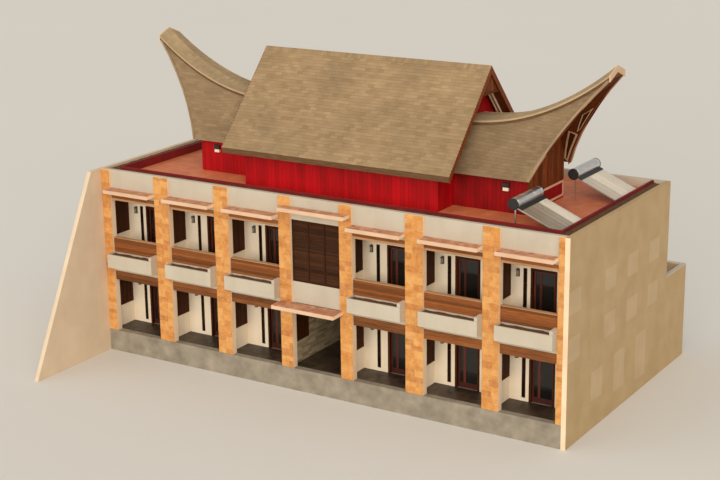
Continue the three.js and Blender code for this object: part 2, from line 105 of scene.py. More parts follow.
# Tongkonan: its middle in the building frame, then its walls, main roof, prows and ridge caps, which are
# measured from that middle and from the ground floor
HOUSE = Vector((10.94, 4.9, 0))
BODY_END, BODY_DEPTH = 4.63, 2.9
WING_END, WING_DEPTH = 7.89, 1.65
BOARD_FOOT = TERRACE + 0.01
GABLE_FOOT = corners("gable_wall_right")[0].z
ROOF_END, ROOF_DEPTH, ROOF_EAVE, ROOF_RIDGE, ROOF_PLUMB = 5.425, 3.44, 8.36, 12.34, 0.22
ROOF_RISE = ROOF_RIDGE - ROOF_EAVE - ROOF_PLUMB
PROW_EAVE, PROW_DEPTH, PROW_TOP_DEPTH, PROW_RISE = 8.37, 1.98, 0.85, 1.75
EAVE_REACH, TIP_REACH, BOW, PROW_LIFT, SWEEP, NARROWING = 3.42, 6.11, 0.265, 2.23, 2.15, 0.25
STRIPS = 6
SKIN, DECK = 0.17, 0.15
CAP_DEPTH, CAP_EDGE, CAP_CROWN, CAP_SWELL = 0.92, 0.17, 0.23, 3.7

# Clearance beside a fitted piece, and the height of a course and the thickness of a tab on the roofs
CLEARANCE = 0.003
EXPOSURE, TAB = 0.15, 0.006


def add_camera():
    """Camera at the photo's place, turned to the block and with a longer lens."""
    data = bpy.data.cameras.new("camera")
    data.sensor_width, data.lens, data.clip_end = 36.0, 78.0, 1000
    camera = bpy.data.objects.new("camera", data)
    bpy.context.scene.collection.objects.link(camera)
    place = Vector((33.485, -53.307, 23.865))
    yaw, pitch, roll = math.radians(32.2), math.radians(-16.1), math.radians(-0.77)
    ahead = Vector((-math.sin(yaw) * math.cos(pitch), math.cos(yaw) * math.cos(pitch), math.sin(pitch)))
    level = Vector((math.cos(yaw), math.sin(yaw), 0))
    upright = level.cross(ahead)
    right = level * math.cos(roll) + upright * math.sin(roll)
    up = upright * math.cos(roll) - level * math.sin(roll)
    turn = Matrix((right, up, -ahead)).transposed().to_4x4()
    camera.matrix_world = Matrix.Translation(place) @ turn
    bpy.context.scene.camera = camera


# Materials

def paint(red, green, blue):
    """Linear colour of a paint that a screen shows with these values from 0 to 255."""
    values = [c / 255 for c in (red, green, blue)]
    return [v / 12.92 if v <= 0.04045 else ((v + 0.055) / 1.055) ** 2.4 for v in values] + [1]


class Surface:
    """A finish in the making: its shader, the object's coordinates and the nodes between them."""

    def __init__(self, name, roughness, metallic=0.0, gloss=0.5):
        self.material = bpy.data.materials.new(name)
        self.material.use_nodes = True
        tree = self.material.node_tree
        self.nodes, self.links = tree.nodes, tree.links
        self.shader = self.nodes["Principled BSDF"]
        self.shader.inputs["Roughness"].default_value = roughness
        self.shader.inputs["Metallic"].default_value = metallic
        self.shader.inputs["Specular IOR Level"].default_value = gloss
        self.place = self.node("ShaderNodeTexCoord").outputs["Object"]

    def feed(self, socket, value):
        """Links another node's output to a socket, or sets the socket to a plain value."""
        if isinstance(value, bpy.types.NodeSocket):
            self.links.new(value, socket)
        else:
            socket.default_value = value

    def node(self, kind, **inputs):
        """Adds a node and feeds its named inputs, with _ for a space in a name."""
        made = self.nodes.new(kind)
        for name, value in inputs.items():
            self.feed(made.inputs[name.replace("_", " ")], value)
        return made

    def stretched(self, x, y, z):
        return self.node("ShaderNodeMapping", Vector=self.place, Scale=(x, y, z)).outputs["Vector"]

    def noise(self, scale, detail, vector=None, roughness=0.5):
        node = self.node("ShaderNodeTexNoise", Vector=vector or self.place, Scale=scale, Detail=detail,
                         Roughness=roughness)
        return node.outputs["Fac"]

    def ramp(self, factor, *stops):
        """Linear colours between stops, each a position and a colour."""
        node = self.node("ShaderNodeValToRGB", Fac=factor)
        elements = node.color_ramp.elements
        while len(elements) < len(stops):
            elements.new(0.5)
        for element, (position, colour) in zip(elements, stops):
            element.position, element.color = position, (*colour[:3], 1)
        return node.outputs["Color"]

    def tones(self, factor, *stops):
        """The same between tones that a screen shows, from 0 to 255."""
        return self.ramp(factor, *((position, paint(*tone)) for position, tone in stops))

    def tint(self):
        """The tint from 0 to 1 that each board, stone or tile has of its own. On the collector fins it holds
        their painted reflection.
        """
        node = self.node("ShaderNodeAttribute")
        node.attribute_name = "tint"
        return node.outputs["Fac"]

    def mix(self, factor, first, second, mode="MIX"):
        node = self.node("ShaderNodeMix")
        node.data_type, node.blend_type = "RGBA", mode
        for index, value in ((0, factor), (6, first), (7, second)):
            self.feed(node.inputs[index], value)
        return node.outputs[2]

    def times(self, first, second):
        """One colour tinted by the other."""
        return self.mix(1.0, first, second, "MULTIPLY")

    def share(self, factor, part):
        """A part of another node's output."""
        node = self.node("ShaderNodeMath")
        node.operation = "MULTIPLY"
        self.feed(node.inputs[0], factor)
        self.feed(node.inputs[1], part)
        return node.outputs[0]

    def colour(self, socket):
        self.feed(self.shader.inputs["Base Color"], socket)

    def rough(self, factor, low, high):
        node = self.node("ShaderNodeMapRange", Value=factor, To_Min=low, To_Max=high)
        self.feed(self.shader.inputs["Roughness"], node.outputs["Result"])

    def bump(self, height, distance, strength):
        node = self.node("ShaderNodeBump", Height=height, Distance=distance, Strength=strength)
        self.feed(self.shader.inputs["Normal"], node.outputs["Normal"])


BLACK, WHITE = (0, 0, 0), (1, 1, 1)


def wall_paint(name, light, dark, stain):
    """Painted plaster or render: faint clouds, rain streaks and a sandy grain."""
    made = Surface(name, 0.88)
    clouds = made.tones(made.noise(0.9, 6), (0.35, dark), (0.65, light))
    streaks = made.ramp(made.noise(1.0, 5, made.stretched(2.2, 2.2, 0.3)), (0.5, BLACK), (0.8, WHITE))
    made.colour(made.mix(made.share(streaks, 0.14), clouds, paint(*stain)))
    made.bump(made.noise(70, 6), 0.004, 0.5)
    return made.material


def split_stone():
    """Split yellow sandstone: a tone for each stone, with veins."""
    made = Surface("split_sandstone", 0.82)
    by_stone = made.tones(made.tint(), (0.0, (192, 114, 40)), (0.3, (220, 146, 62)), (0.6, (232, 170, 94)),
                          (0.85, (208, 132, 50)), (1.0, (182, 106, 42)))
    veins = made.tones(made.noise(5, 8, roughness=0.65), (0.3, (180, 106, 42)), (0.7, (240, 190, 122)))
    made.colour(made.mix(0.42, by_stone, veins))
    made.bump(made.noise(16, 8, roughness=0.6), 0.03, 0.7)
    return made.material


def timber(name, light, dark, roughness=0.6, along="z", gloss=0.3):
    """Timber with its grain along one axis and a tint of its own for each board."""
    made = Surface(name, roughness, gloss=gloss)
    stretch = {"x": (0.6, 12, 12), "y": (12, 0.6, 12), "z": (12, 12, 0.6)}[along]
    grain = made.noise(3.5, 8, made.stretched(*stretch), 0.6)
    by_board = made.ramp(made.tint(), (0.0, (0.62, 0.62, 0.62)), (1.0, (1.3, 1.25, 1.2)))
    made.colour(made.times(made.tones(grain, (0.3, dark), (0.7, light)), by_board))
    made.bump(grain, 0.004, 0.6)
    return made.material


def red_paint(name, light, dark):
    """Red paint on boards, weathered in patches."""
    made = Surface(name, 0.62, gloss=0.22)
    weather = made.tones(made.noise(1.3, 7, made.stretched(1, 1, 0.5)), (0.3, dark), (0.7, light))
    by_board = made.ramp(made.tint(), (0.0, (0.82, 0.82, 0.82)), (1.0, (1.08, 1.08, 1.08)))
    made.colour(made.times(weather, by_board))
    made.bump(made.noise(3, 6, made.stretched(10, 10, 0.6)), 0.003, 0.5)
    return made.material


def shingle(name, light, dark):
    """Mineral shingles: one tint for each, weather clouds and a fine grit."""
    made = Surface(name, 0.95, gloss=0.2)
    by_shingle = made.tones(made.tint(), (0.0, dark), (1.0, light))
    weather = made.ramp(made.noise(0.7, 6), (0.3, (0.84, 0.84, 0.84)), (0.7, (1.08, 1.07, 1.05)))
    grit = made.noise(160, 2)
    speckle = made.ramp(grit, (0.35, (0.8, 0.8, 0.8)), (0.65, (1.15, 1.15, 1.15)))
    made.colour(made.times(made.times(by_shingle, weather), speckle))
    made.bump(grit, 0.003, 0.6)
    return made.material


def clay_tile():
    """Clay tiles with a tone for each and some moss."""
    made = Surface("clay_tile", 0.72)
    by_tile = made.tones(made.tint(), (0.0, (184, 121, 88)), (0.5, (200, 141, 106)), (1.0, (214, 158, 124)))
    moss = made.ramp(made.noise(3, 6), (0.48, BLACK), (0.75, WHITE))
    made.colour(made.mix(made.share(moss, 0.3), by_tile, paint(150, 96, 66)))
    made.bump(made.noise(45, 5), 0.004, 0.5)
    return made.material


def floor_tiles():
    """Square terracotta floor tiles with pale joints."""
    made = Surface("terrace_floor_tiles", 0.6)
    brick = made.node("ShaderNodeTexBrick", Vector=made.place, Scale=1.0, Brick_Width=0.3, Row_Height=0.3,
                      Mortar_Size=0.006, Color1=paint(226, 122, 74), Color2=paint(234, 138, 88),
                      Mortar=paint(200, 160, 128))
    brick.offset = 0.0
    dirt = made.ramp(made.noise(1.5, 6), (0.4, (0.86, 0.84, 0.82)), (0.7, (1.04, 1.03, 1.02)))
    made.colour(made.times(brick.outputs["Color"], dirt))
    made.bump(brick.outputs["Fac"], 0.002, -0.5)
    return made.material


def shade_dark_floor():
    """Glazed floor tiles, each with a tone of its own. Their dark tone is painted shade: the deep shade on
    the floors of the porches, balconies and passage.
    """
    made = Surface("shade_dark_floor_tile", 0.42)
    by_tile = made.tones(made.tint(), (0.0, (50, 38, 28)), (1.0, (76, 60, 46)))
    dirt = made.ramp(made.noise(2.2, 7), (0.35, (0.75, 0.73, 0.7)), (0.7, (1.1, 1.08, 1.05)))
    made.colour(made.times(by_tile, dirt))
    made.rough(made.noise(4, 5), 0.35, 0.6)
    return made.material


def stone_slips():
    """Thin courses of cut stone, greyish cream."""
    made = Surface("thin_stone_slips", 0.85)
    by_slip = made.tones(made.tint(), (0.0, (150, 130, 100)), (0.5, (176, 156, 124)), (1.0, (196, 178, 146)))
    stain = made.ramp(made.noise(2.4, 7), (0.35, (0.8, 0.78, 0.74)), (0.7, (1.04, 1.04, 1.03)))
    made.colour(made.times(by_slip, stain))
    made.bump(made.noise(26, 7), 0.006, 0.6)
    return made.material


def concrete():
    made = Surface("bare_concrete", 0.93)
    clouds = made.noise(1.6, 8, roughness=0.6)
    made.colour(made.tones(clouds, (0.3, (128, 118, 102)), (0.7, (166, 154, 136))))
    made.bump(made.noise(35, 7), 0.005, 0.6)
    return made.material


def soil():
    made = Surface("bed_soil", 1.0)
    made.colour(made.tones(made.noise(14, 8, roughness=0.7), (0.3, (70, 44, 24)), (0.7, (120, 82, 46))))
    made.bump(made.noise(30, 8, roughness=0.7), 0.03, 0.8)
    return made.material


def window_glass():
    made = Surface("dark_window_glass", 0.06)
    made.colour(made.tones(made.noise(1.1, 3), (0.3, (16, 15, 14)), (0.7, (34, 32, 29))))
    made.rough(made.noise(2.5, 5), 0.04, 0.16)
    return made.material


def brushed_steel():
    made = Surface("brushed_steel", 0.3, 1.0)
    lines = made.noise(4, 6, made.stretched(30, 0.5, 30))
    made.colour(made.ramp(lines, (0.3, (0.62, 0.61, 0.6)), (0.7, (0.86, 0.85, 0.83))))
    made.rough(lines, 0.22, 0.4)
    return made.material


def moulded(name, light, dark, roughness):
    """Smooth moulded or painted sheet, almost even in tone."""
    made = Surface(name, roughness)
    made.colour(made.tones(made.noise(6, 5), (0.3, dark), (0.7, light)))
    made.bump(made.noise(120, 3), 0.001, 0.3)
    return made.material


def collector_fins_painted_reflection():
    """Coated collector fins with a soft gloss. Each fin's tone, from dark to pale, is a painted reflection.
    """
    made = Surface("collector_fins_painted_reflection", 0.3)
    reflection_by_fin = made.tones(made.tint(), (0.0, (130, 112, 90)), (1.0, (240, 228, 208)))
    dust = made.ramp(made.noise(2, 5), (0.3, (0.93, 0.93, 0.92)), (0.7, (1.03, 1.03, 1.03)))
    made.colour(made.times(reflection_by_fin, dust))
    made.rough(made.noise(5, 4), 0.22, 0.38)
    return made.material


def pale_floor():
    made = Surface("studio_floor", 0.9)
    made.colour(made.tones(made.noise(0.05, 2), (0.3, (228, 224, 217)), (0.7, (229, 225, 218))))
    return made.material


FINISH = {
    "plaster": wall_paint("white_plaster", (201, 190, 171), (194, 182, 162), (162, 144, 117)),
    "room_wall": wall_paint("white_room_wall", (253, 236, 210), (247, 229, 202), (214, 192, 161)),
    "tan": wall_paint("tan_render", (193, 164, 121), (184, 155, 112), (158, 131, 93)),
    "panel": wall_paint("pale_render", (200, 174, 136), (192, 165, 127), (168, 142, 106)),
    "fin": wall_paint("light_beige_render", (228, 206, 176), (221, 197, 167), (186, 160, 130)),
    "cream": wall_paint("cream_trim", (250, 222, 188), (242, 208, 172), (206, 166, 126)),
    "rake_edge": wall_paint("rake_edge_trim", (202, 166, 128), (186, 149, 111), (158, 120, 84)),
    "roof_trim": wall_paint("roof_trim", (162, 136, 104), (146, 121, 91), (120, 97, 71)),
    "canopy_band": wall_paint("canopy_band", (228, 192, 160), (217, 179, 146), (182, 142, 106)),
    "rim": wall_paint("tan_rim", (196, 150, 108), (180, 134, 92), (150, 106, 70)),
    "pink": wall_paint("pink_cream_rim", (236, 182, 152), (222, 162, 132), (180, 120, 92)),
    "cap_edge": wall_paint("cap_edge_trim", (192, 166, 130), (180, 153, 118), (150, 124, 94)),
    "cap_end": wall_paint("cap_end_trim", (226, 192, 158), (214, 178, 142), (184, 146, 110)),
    "kerb": wall_paint("dark_red_kerb", (136, 16, 16), (112, 10, 10), (84, 14, 12)),
    "dark_timber": timber("dark_stained_timber", (84, 40, 10), (44, 18, 3), 0.6, "z", 0.16),
    "dark_rail": timber("dark_stained_rail", (84, 48, 20), (50, 26, 9), 0.6, "x", 0.25),
    "door": timber("door_timber", (110, 42, 24), (58, 20, 12), 0.42, "z", 0.5),
    "beam": timber("brown_beam", (150, 92, 44), (104, 58, 26), 0.7, "x"),
    "guard": timber("guard_boards", (152, 92, 48), (118, 66, 30), 0.75, "x", 0.2),
    "plank": timber("brown_plank", (146, 74, 30), (84, 36, 12), 0.8, "z", 0.12),
    "barge": timber("barge_board", (146, 80, 40), (98, 46, 20), 0.7, "z", 0.2),
    "roof_edge": timber("roof_edge_board", (128, 96, 66), (90, 64, 42), 0.8, "x", 0.15),
    "red": red_paint("red_board_paint", (192, 4, 16), (164, 2, 9)),
    # Darker copy of the board red for the right wing's boards: painted shade.
    "shaded_red": red_paint("shaded_red_board_paint", (160, 3, 9), (126, 2, 5)),
    "shingle": shingle("taupe_shingle", (172, 145, 110), (152, 126, 93)),
    "prow_shingle": shingle("prow_taupe_shingle", (155, 130, 99), (137, 113, 84)),
    "cap_shingle": shingle("cap_shingle", (188, 162, 125), (171, 146, 110)),
    "rubber": moulded("black_end_cap", (38, 36, 34), (22, 21, 20), 0.5),
    "collector": moulded("pale_collector_sheet", (172, 168, 156), (150, 146, 134), 0.35),
    "lamp": moulded("lamp_shade", (250, 240, 214), (232, 220, 190), 0.3),
    "lantern": moulded("lantern_glass", (146, 144, 122), (122, 122, 102), 0.25),
    "dark_metal": moulded("dark_lamp_metal", (58, 50, 42), (38, 33, 28), 0.4),
    "stone": split_stone(),
    "slip": stone_slips(),
    "shade_dark_floor": shade_dark_floor(),
    "tile": clay_tile(),
    "floor_tiles": floor_tiles(),
    "concrete": concrete(),
    "soil": soil(),
    "glass": window_glass(),
    "steel": brushed_steel(),
    "fin_metal": collector_fins_painted_reflection(),
}

CAD_FINISH = {
    "plinth": "concrete", "left_side_wall": "fin", "right_side_wall": "tan", "rear_wall": "plaster",
    "rear_glazing": "glass", "annex_rear_wall": "tan", "annex_roof": "concrete", "annex_glazing": "glass",
    "upper_floor": "concrete", "terrace_floor": "floor_tiles", "front_fascia": "plaster", "pier": "plaster",
    "balcony": "plaster", "centre_spandrel": "plaster", "centre_screen": "dark_timber", "canopy": "cream",
    "entrance_canopy": "cream", "lower_rooms": "room_wall", "upper_rooms": "room_wall", "door": "door",
    "upper_glazing": "glass", "terrace_kerb": "kerb", "solar_heater": "steel", "house_walls": "red",
    "gable_wall": "plank", "main_roof": "plank", "prow_roof": "plank", "ridge_cap": "dark_timber",
}


def finish_cad_nodes():
    """Gives each CAD node the finish that its name starts with."""
    for name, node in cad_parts.items():
        key = max((start for start in CAD_FINISH if name.startswith(start)), key=len)
        node.data.materials.clear()
        node.data.materials.append(FINISH[CAD_FINISH[key]])


# Mesh helpers

def start_mesh():
    mesh = bmesh.new()
    mesh.verts.layers.float.new("tint")
    return mesh


def start_meshes(count):
    return [start_mesh() for _ in range(count)]


def give_tint(mesh, verts, tint=0.5):
    layer = mesh.verts.layers.float["tint"]
    for vert in verts:
        vert[layer] = tint


def random_tint(spread):
    return min(max(rng.gauss(0.5, spread), 0), 1)


def block(mesh, low, high, tint=0.5):
    """Adds a box between two corners of the building frame."""
    low, high = at(*low), at(*high)
    place = Matrix.Translation((low + high) / 2) @ Matrix.Diagonal((*(high - low), 1))
    verts = bmesh.ops.create_cube(mesh, size=1, matrix=place)["verts"]
    give_tint(mesh, verts, tint)
    return verts


def board(mesh, low, high):
    """Adds a box with a random tint of its own."""
    return block(mesh, low, high, rng.random())


def frame_bars(mesh, bars, front, back):
    """Adds boards between two depths, each from its (left, foot) to its (right, top)."""
    for (left, foot), (right, top) in bars:
        board(mesh, (left, front, foot), (right, back, top))


def frame_sides(left, right, foot, top, bar, low_bar):
    """Left, right, lower and upper bar of a frame, for frame_bars."""
    start, stop = left + bar, right - bar
    return (((left, foot), (start, top)), ((stop, foot), (right, top)),
            ((start, foot), (stop, foot + low_bar)), ((start, top - bar), (stop, top)))


def beam(mesh, start, end, width, depth, facing, tint=0.5):
    """Adds a straight bar between two building points, its depth along facing and its width across it."""
    start, end = at(*start), at(*end)
    along = end - start
    across = along.cross(Vector(facing)).normalized()
    deep = across.cross(along).normalized()
    axes = Matrix((across * width, along, deep * depth)).transposed().to_4x4()
    verts = bmesh.ops.create_cube(mesh, size=1, matrix=Matrix.Translation((start + end) / 2) @ axes)["verts"]
    give_tint(mesh, verts, tint)


def rod(mesh, start, end, radius, sides=12):
    """Adds a round bar between two building points."""
    start, end = at(*start), at(*end)
    along = end - start
    turn = along.to_track_quat("Z", "Y").to_matrix().to_4x4()
    made = bmesh.ops.create_cone(mesh, cap_ends=True, segments=sides, radius1=radius, radius2=radius,
                                 depth=along.length, matrix=Matrix.Translation((start + end) / 2) @ turn)
    give_tint(mesh, made["verts"])


def grid_faces(mesh, columns, rows):
    """Adds a flat grid, and gives its points and faces."""
    verts = bmesh.ops.create_grid(mesh, x_segments=columns, y_segments=rows, size=0.5)["verts"]
    return verts, list(dict.fromkeys(face for vert in verts for face in vert.link_faces))


def sheet(mesh, surface, columns, rows, thickness, tint=0.5):
    """Adds a thick sheet whose points lie where surface(u, v) says, for u and v from 0 to 1."""
    verts, faces = grid_faces(mesh, columns, rows)
    reach = max(vert.co.x for vert in verts)
    for vert in verts:
        vert.co = at(*surface(vert.co.x / reach / 2 + 0.5, vert.co.y / reach / 2 + 0.5))
    give_tint(mesh, verts, tint)
    bmesh.ops.solidify(mesh, geom=faces, thickness=thickness)


def lay_course(mesh, surface, low, high, tabs, start=0.0, stagger=False, spread=0.25, slip=0.006, lap=0.018):
    """Lays one row of thin tabs between two heights of a slope, each with a tint of its own.
    surface(u, s, lift) gives the point at u along and s up the slope, lifted off it. Their lower edges
    slip up or down at random, and lie on the row below at the height of lap."""
    faces = grid_faces(mesh, tabs, 1)[1]
    bmesh.ops.split_edges(mesh, edges=list(dict.fromkeys(edge for face in faces for edge in face.edges)))
    reach = max(abs(vert.co.x) for face in faces for vert in face.verts)
    layer = mesh.verts.layers.float["tint"]
    for face in faces:
        tint = random_tint(spread)
        middle = face.calc_center_median()
        lower = low + rng.uniform(-slip, slip) if slip else low
        for vert in face.verts:
            share = vert.co.x / reach / 2 + 0.5
            if stagger and 0.001 < share < 0.999:
                share += 0.5 / tabs
            s, lift = (high, TAB) if vert.co.y > middle.y else (lower, lap)
            vert.co = at(*surface(start + share * (1 - start), s, lift))
            vert[layer] = tint
    bmesh.ops.solidify(mesh, geom=faces, thickness=TAB)


def sweep(mesh, outline, place, steps):
    """Sweeps a closed outline of (across, up) points to where place(t, across, up) says, t from 0 to 1."""
    corner = mesh.verts.layers.int.get("corner") or mesh.verts.layers.int.new("corner")
    verts = [mesh.verts.new(at(*place(0.0, *point))) for point in outline]
    for index, vert in enumerate(verts):
        vert[corner] = index
    face = mesh.faces.new(verts)
    everything = list(verts)
    for step in range(1, steps + 1):
        made = bmesh.ops.extrude_face_region(mesh, geom=[face])["geom"]
        face = next(item for item in made if isinstance(item, bmesh.types.BMFace))
        for vert in face.verts:
            vert.co = at(*place(step / steps, *outline[vert[corner]]))
        everything += face.verts
    give_tint(mesh, everything)


def random_lengths(start, end, shortest, longest, least):
    """Random lengths laid from start to end, where the last one takes up any rest shorter than least."""
    while start < end - 0.001:
        length = rng.uniform(shortest, longest)
        if end - start - length < least:
            length = end - start
        yield start, start + length
        start += length


def piece(name, mesh, finish, body="building", bevel=0.0, replaces=()):
    """Makes an object of a finished mesh, that rides on a body."""
    bmesh.ops.recalc_face_normals(mesh, faces=mesh.faces)
    data = bpy.data.meshes.new(name)
    mesh.to_mesh(data)
    mesh.free()
    data.materials.append(FINISH[finish])
    made = bpy.data.objects.new(name, data)
    bpy.context.scene.collection.objects.link(made)
    if bevel:
        rounding = made.modifiers.new("rounded_edges", "BEVEL")
        rounding.width, rounding.segments, rounding.limit_method = bevel, 1, "ANGLE"
    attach(made, body)
    if replaces:
        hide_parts(*replaces)


# Stone piers

def pier_middle(n):
    low, high = corners(f"pier_{n}")
    return (low.x + high.x) / 2


def bay_start(n):
    """Face of the divider that a bay's rooms start from."""
    return pier_middle(n) + DIVIDER_SHIFTS.get(n, 0.0) + DIVIDER / 2


def lay_stones(mesh, left, right, foot, top):
    """Courses of split stones of mixed sizes on the front of a pier."""
    joint, back, least = 0.004, 0.026, 0.15
    for z0, z1 in random_lengths(foot, top, 0.18, 0.32, least):
        for x0, x1 in random_lengths(left, right, 0.24, 0.52, least):
            board(mesh, (x0 + joint, rng.uniform(0, 0.008), z0 + joint), (x1 - joint, back, z1 - joint))


def build_piers():
    face = 0.018
    for n in range(1, 9):
        low, high = corners(f"pier_{n}")
        core, stones = start_meshes(2)
        block(core, (low.x, face, 0), (high.x, high.y, FASCIA_FOOT))
        block(core, (low.x, face, FASCIA_FOOT), (high.x, FASCIA_Y, PARAPET))
        piece(f"pier_core_{n}", core, "cream", replaces=[f"pier_{n}"])
        lay_stones(stones, low.x, high.x, 0, PARAPET)
        piece(f"pier_stones_{n}", stones, "stone", bevel=0.006)


# Canopies

def build_canopy(node, back, reach=0.45, fall=0.01):
    """Clay tiles on a canopy's top and a rendered band round its edge."""
    low, high = corners(node)
    inset, tile_length, tile_width, overlap = 0.02, 0.19, 0.2, 0.15
    left, right, top = low.x + inset, high.x - inset, high.z
    deep, edge = back + reach, top - fall
    slope = math.hypot(deep, fall)
    rows, tabs = round(slope / tile_length), round((right - left) / tile_width)
    tiles, band = start_meshes(2)

    def on_top(u, s, lift):
        share = s / slope
        return (left + u * (right - left), -reach + share * deep - 0.2 * lift, edge + share * fall + lift)

    for row in range(rows):
        lay_course(tiles, on_top, row * slope / rows, min((row + 1 + overlap) * slope / rows, slope), tabs,
                   stagger=row % 2 == 1, spread=0.35)
    piece(f"{node}_tiles", tiles, "tile")
    under, over, half = 0.13, 0.022, 0.012
    block(band, (left - 0.01, -reach - 0.012, edge - under), (right + 0.01, -reach + 0.03, edge + over))
    outline = [(-reach, edge - under), (back, top - under), (back, top + over), (-reach, edge + over)]
    for x in (left, right):
        sweep(band, outline, lambda t, y, z: (x + half * (2 * t - 1), y, z), 1)
    piece(f"{node}_band", band, "canopy_band", bevel=0.004)


def build_canopies():
    for n in SIDE_BAYS:
        build_canopy(f"canopy_{n}", FASCIA_Y)
    build_canopy("canopy_4", 0)
    build_canopy("entrance_canopy", 0, 0.75, 0.02)


# Balconies

def build_headers():
    """Brown board over a tan one at the foot of the front band, above each balcony. The brown upper board is
    painted shadow of the canopy.
    """
    boards, edges = start_meshes(2)
    middle, top = FASCIA_FOOT + 0.09, FASCIA_FOOT + 0.24
    for n in SIDE_BAYS:
        left, right = corners(f"pier_{n}")[1].x + CLEARANCE, corners(f"pier_{n + 1}")[0].x - CLEARANCE
        board(boards, (left, FASCIA_Y - 0.02, middle), (right, FASCIA_Y, top))
        block(edges, (left, FASCIA_Y - 0.024, FASCIA_FOOT), (right, FASCIA_Y, middle))
    piece("header_shade_boards", boards, "beam", bevel=0.003)
    piece("header_edges", edges, "rim", bevel=0.003)


def clod(mesh, place, radius):
    """Adds a small lump of soil."""
    turn = Matrix.Rotation(rng.uniform(0, math.pi), 4, "Z")
    shape = Matrix.Translation(at(*place)) @ turn @ Matrix.Diagonal((1, rng.uniform(0.6, 1), 0.6, 1))
    made = bmesh.ops.create_icosphere(mesh, subdivisions=1, radius=radius, matrix=shape)
    for vert in made["verts"]:
        vert.co += Vector([rng.uniform(-0.2, 0.2) * radius for _ in range(3)])
    give_tint(mesh, made["verts"], rng.random())


def fill_bed(mesh, low, high, level):
    """Uneven soil with clods between two corners of a bed."""
    width, depth = high[0] - low[0], high[1] - low[1]
    patch, clods_per_area = 0.12, 14

    def ground(u, v):
        heap = 0.02 * math.sin(7 * u * width) * math.cos(5 * v * depth) + rng.uniform(-0.012, 0.012)
        return (low[0] + u * width, low[1] + v * depth, level + heap)

    sheet(mesh, ground, max(2, round(width / patch)), max(2, round(depth / patch)), 0.04)
    for _ in range(int(width * depth * clods_per_area)):
        x, y = (rng.uniform(low[axis], high[axis]) for axis in (0, 1))
        clod(mesh, (x, y, level), rng.uniform(0.012, 0.035))


def build_balconies():
    """Boards, rim and soil of each balcony, and the boards on the lintel under it."""
    rims, ends, boards, beams, earth = start_meshes(5)
    board_pitch, gap, least = 0.105, 0.005, 0.02
    for n in SIDE_BAYS:
        low, high = corners(f"balcony_{n}")
        left, right = low.x + CLEARANCE, high.x - CLEARANCE
        block(rims, (left, FASCIA_Y - 0.035, high.z), (right, high.y, high.z + 0.03))
        z = TROUGH_TOP + gap
        while z < high.z - least:
            top = min(z + board_pitch, high.z - 0.004)
            board(boards, (left, FASCIA_Y - 0.02, z), (right, FASCIA_Y, top - gap))
            z = top
        for foot, top in ((2.36, 2.55), (2.556, 2.75)):
            board(beams, (left, FASCIA_Y - 0.03, foot), (right, FASCIA_Y, top))
        block(ends, (right - 0.14, low.y + 0.02, TROUGH_TOP), (right, FASCIA_Y - 0.021, TROUGH_TOP + 0.17))
        fill_bed(earth, (left + 0.06, low.y + 0.062), (right - 0.06, FASCIA_Y - 0.022), TROUGH_TOP - 0.06)
    piece("guard_rims", rims, "rim", bevel=0.008)
    piece("guard_boards", boards, "guard", bevel=0.003)
    piece("lintel_boards", beams, "beam", bevel=0.004)
    piece("trough_end_blocks", ends, "plaster", bevel=0.006)
    piece("trough_soil", earth, "soil")


# Room fronts

def door_frame(mesh, left, floor):
    """Frame of a room door, on the outer side of its leaf, and the casing round it."""
    right, top = left + DOOR_WIDTH, floor + DOOR_HEIGHT
    front, bar, casing = ROOM_WALL_FRONT - 0.02, 0.045, 0.05
    frame_bars(mesh, (((left, floor), (left + bar, top - bar)), ((right - bar, floor), (right, top - bar)),
                      ((left, top - bar), (right, top))), front, LEAF_OUTSIDE - 0.012)
    frame_bars(mesh, (((left - casing, floor), (left, top + casing)),
                      ((right, floor), (right + casing, top + casing)),
                      ((left, top), (right, top + casing))), front, ROOM_WALL_FRONT)


def strip_frame(mesh, left, floor):
    """Frame of the narrow window beside a door."""
    right, foot, top = left + STRIP_WIDTH, floor + STRIP_FOOT, floor + STRIP_TOP
    bar, rail = 0.028, floor + 1.5
    left_bar, right_bar, low_bar, high_bar = frame_sides(left, right, foot, top, bar, bar)
    middle_bar = ((left + bar, rail), (right - bar, rail + bar))
    frame_bars(mesh, (left_bar, right_bar, high_bar, low_bar, middle_bar),
               ROOM_WALL_FRONT - 0.012, ROOM_WALL_FRONT + 0.07)


def fixed_leaf(frames, panes, left, floor):
    """Glazed leaf of an upper door, which stays shut."""
    low, high = left + DOOR_GAP, left + DOOR_WIDTH - DOOR_GAP
    foot, top = floor + DOOR_GAP, floor + DOOR_HEIGHT - DOOR_GAP
    glass_foot, glass_top, middle = foot + 2 * STILE, top - STILE, low + MIDDLE_STILE
    frame_bars(frames, (*frame_sides(low, high, foot, top, STILE, 2 * STILE),
                        ((middle, glass_foot), (middle + STILE, glass_top))), LEAF_OUTSIDE, LEAF_INSIDE)
    block(panes, (low + STILE, LEAF_OUTSIDE + 0.015, glass_foot),
          (high - STILE, LEAF_OUTSIDE + 0.021, glass_top))


def wall_lamp(metal, shade, x, z):
    """Small lantern on the wall beside a door."""
    wall, middle = ROOM_WALL_FRONT, ROOM_WALL_FRONT - 0.085
    block(metal, (x - 0.055, wall - 0.015, z - 0.16), (x + 0.055, wall, z + 0.16))
    block(metal, (x - 0.012, middle, z + 0.09), (x + 0.012, wall - 0.01, z + 0.115))
    for mesh, foot, top, radius in ((metal, 0.1, 0.135, 0.068), (metal, -0.13, -0.105, 0.062),
                                    (shade, -0.105, 0.1, 0.052)):
        rod(mesh, (x, middle, z + foot), (x, middle, z + top), radius, 16)


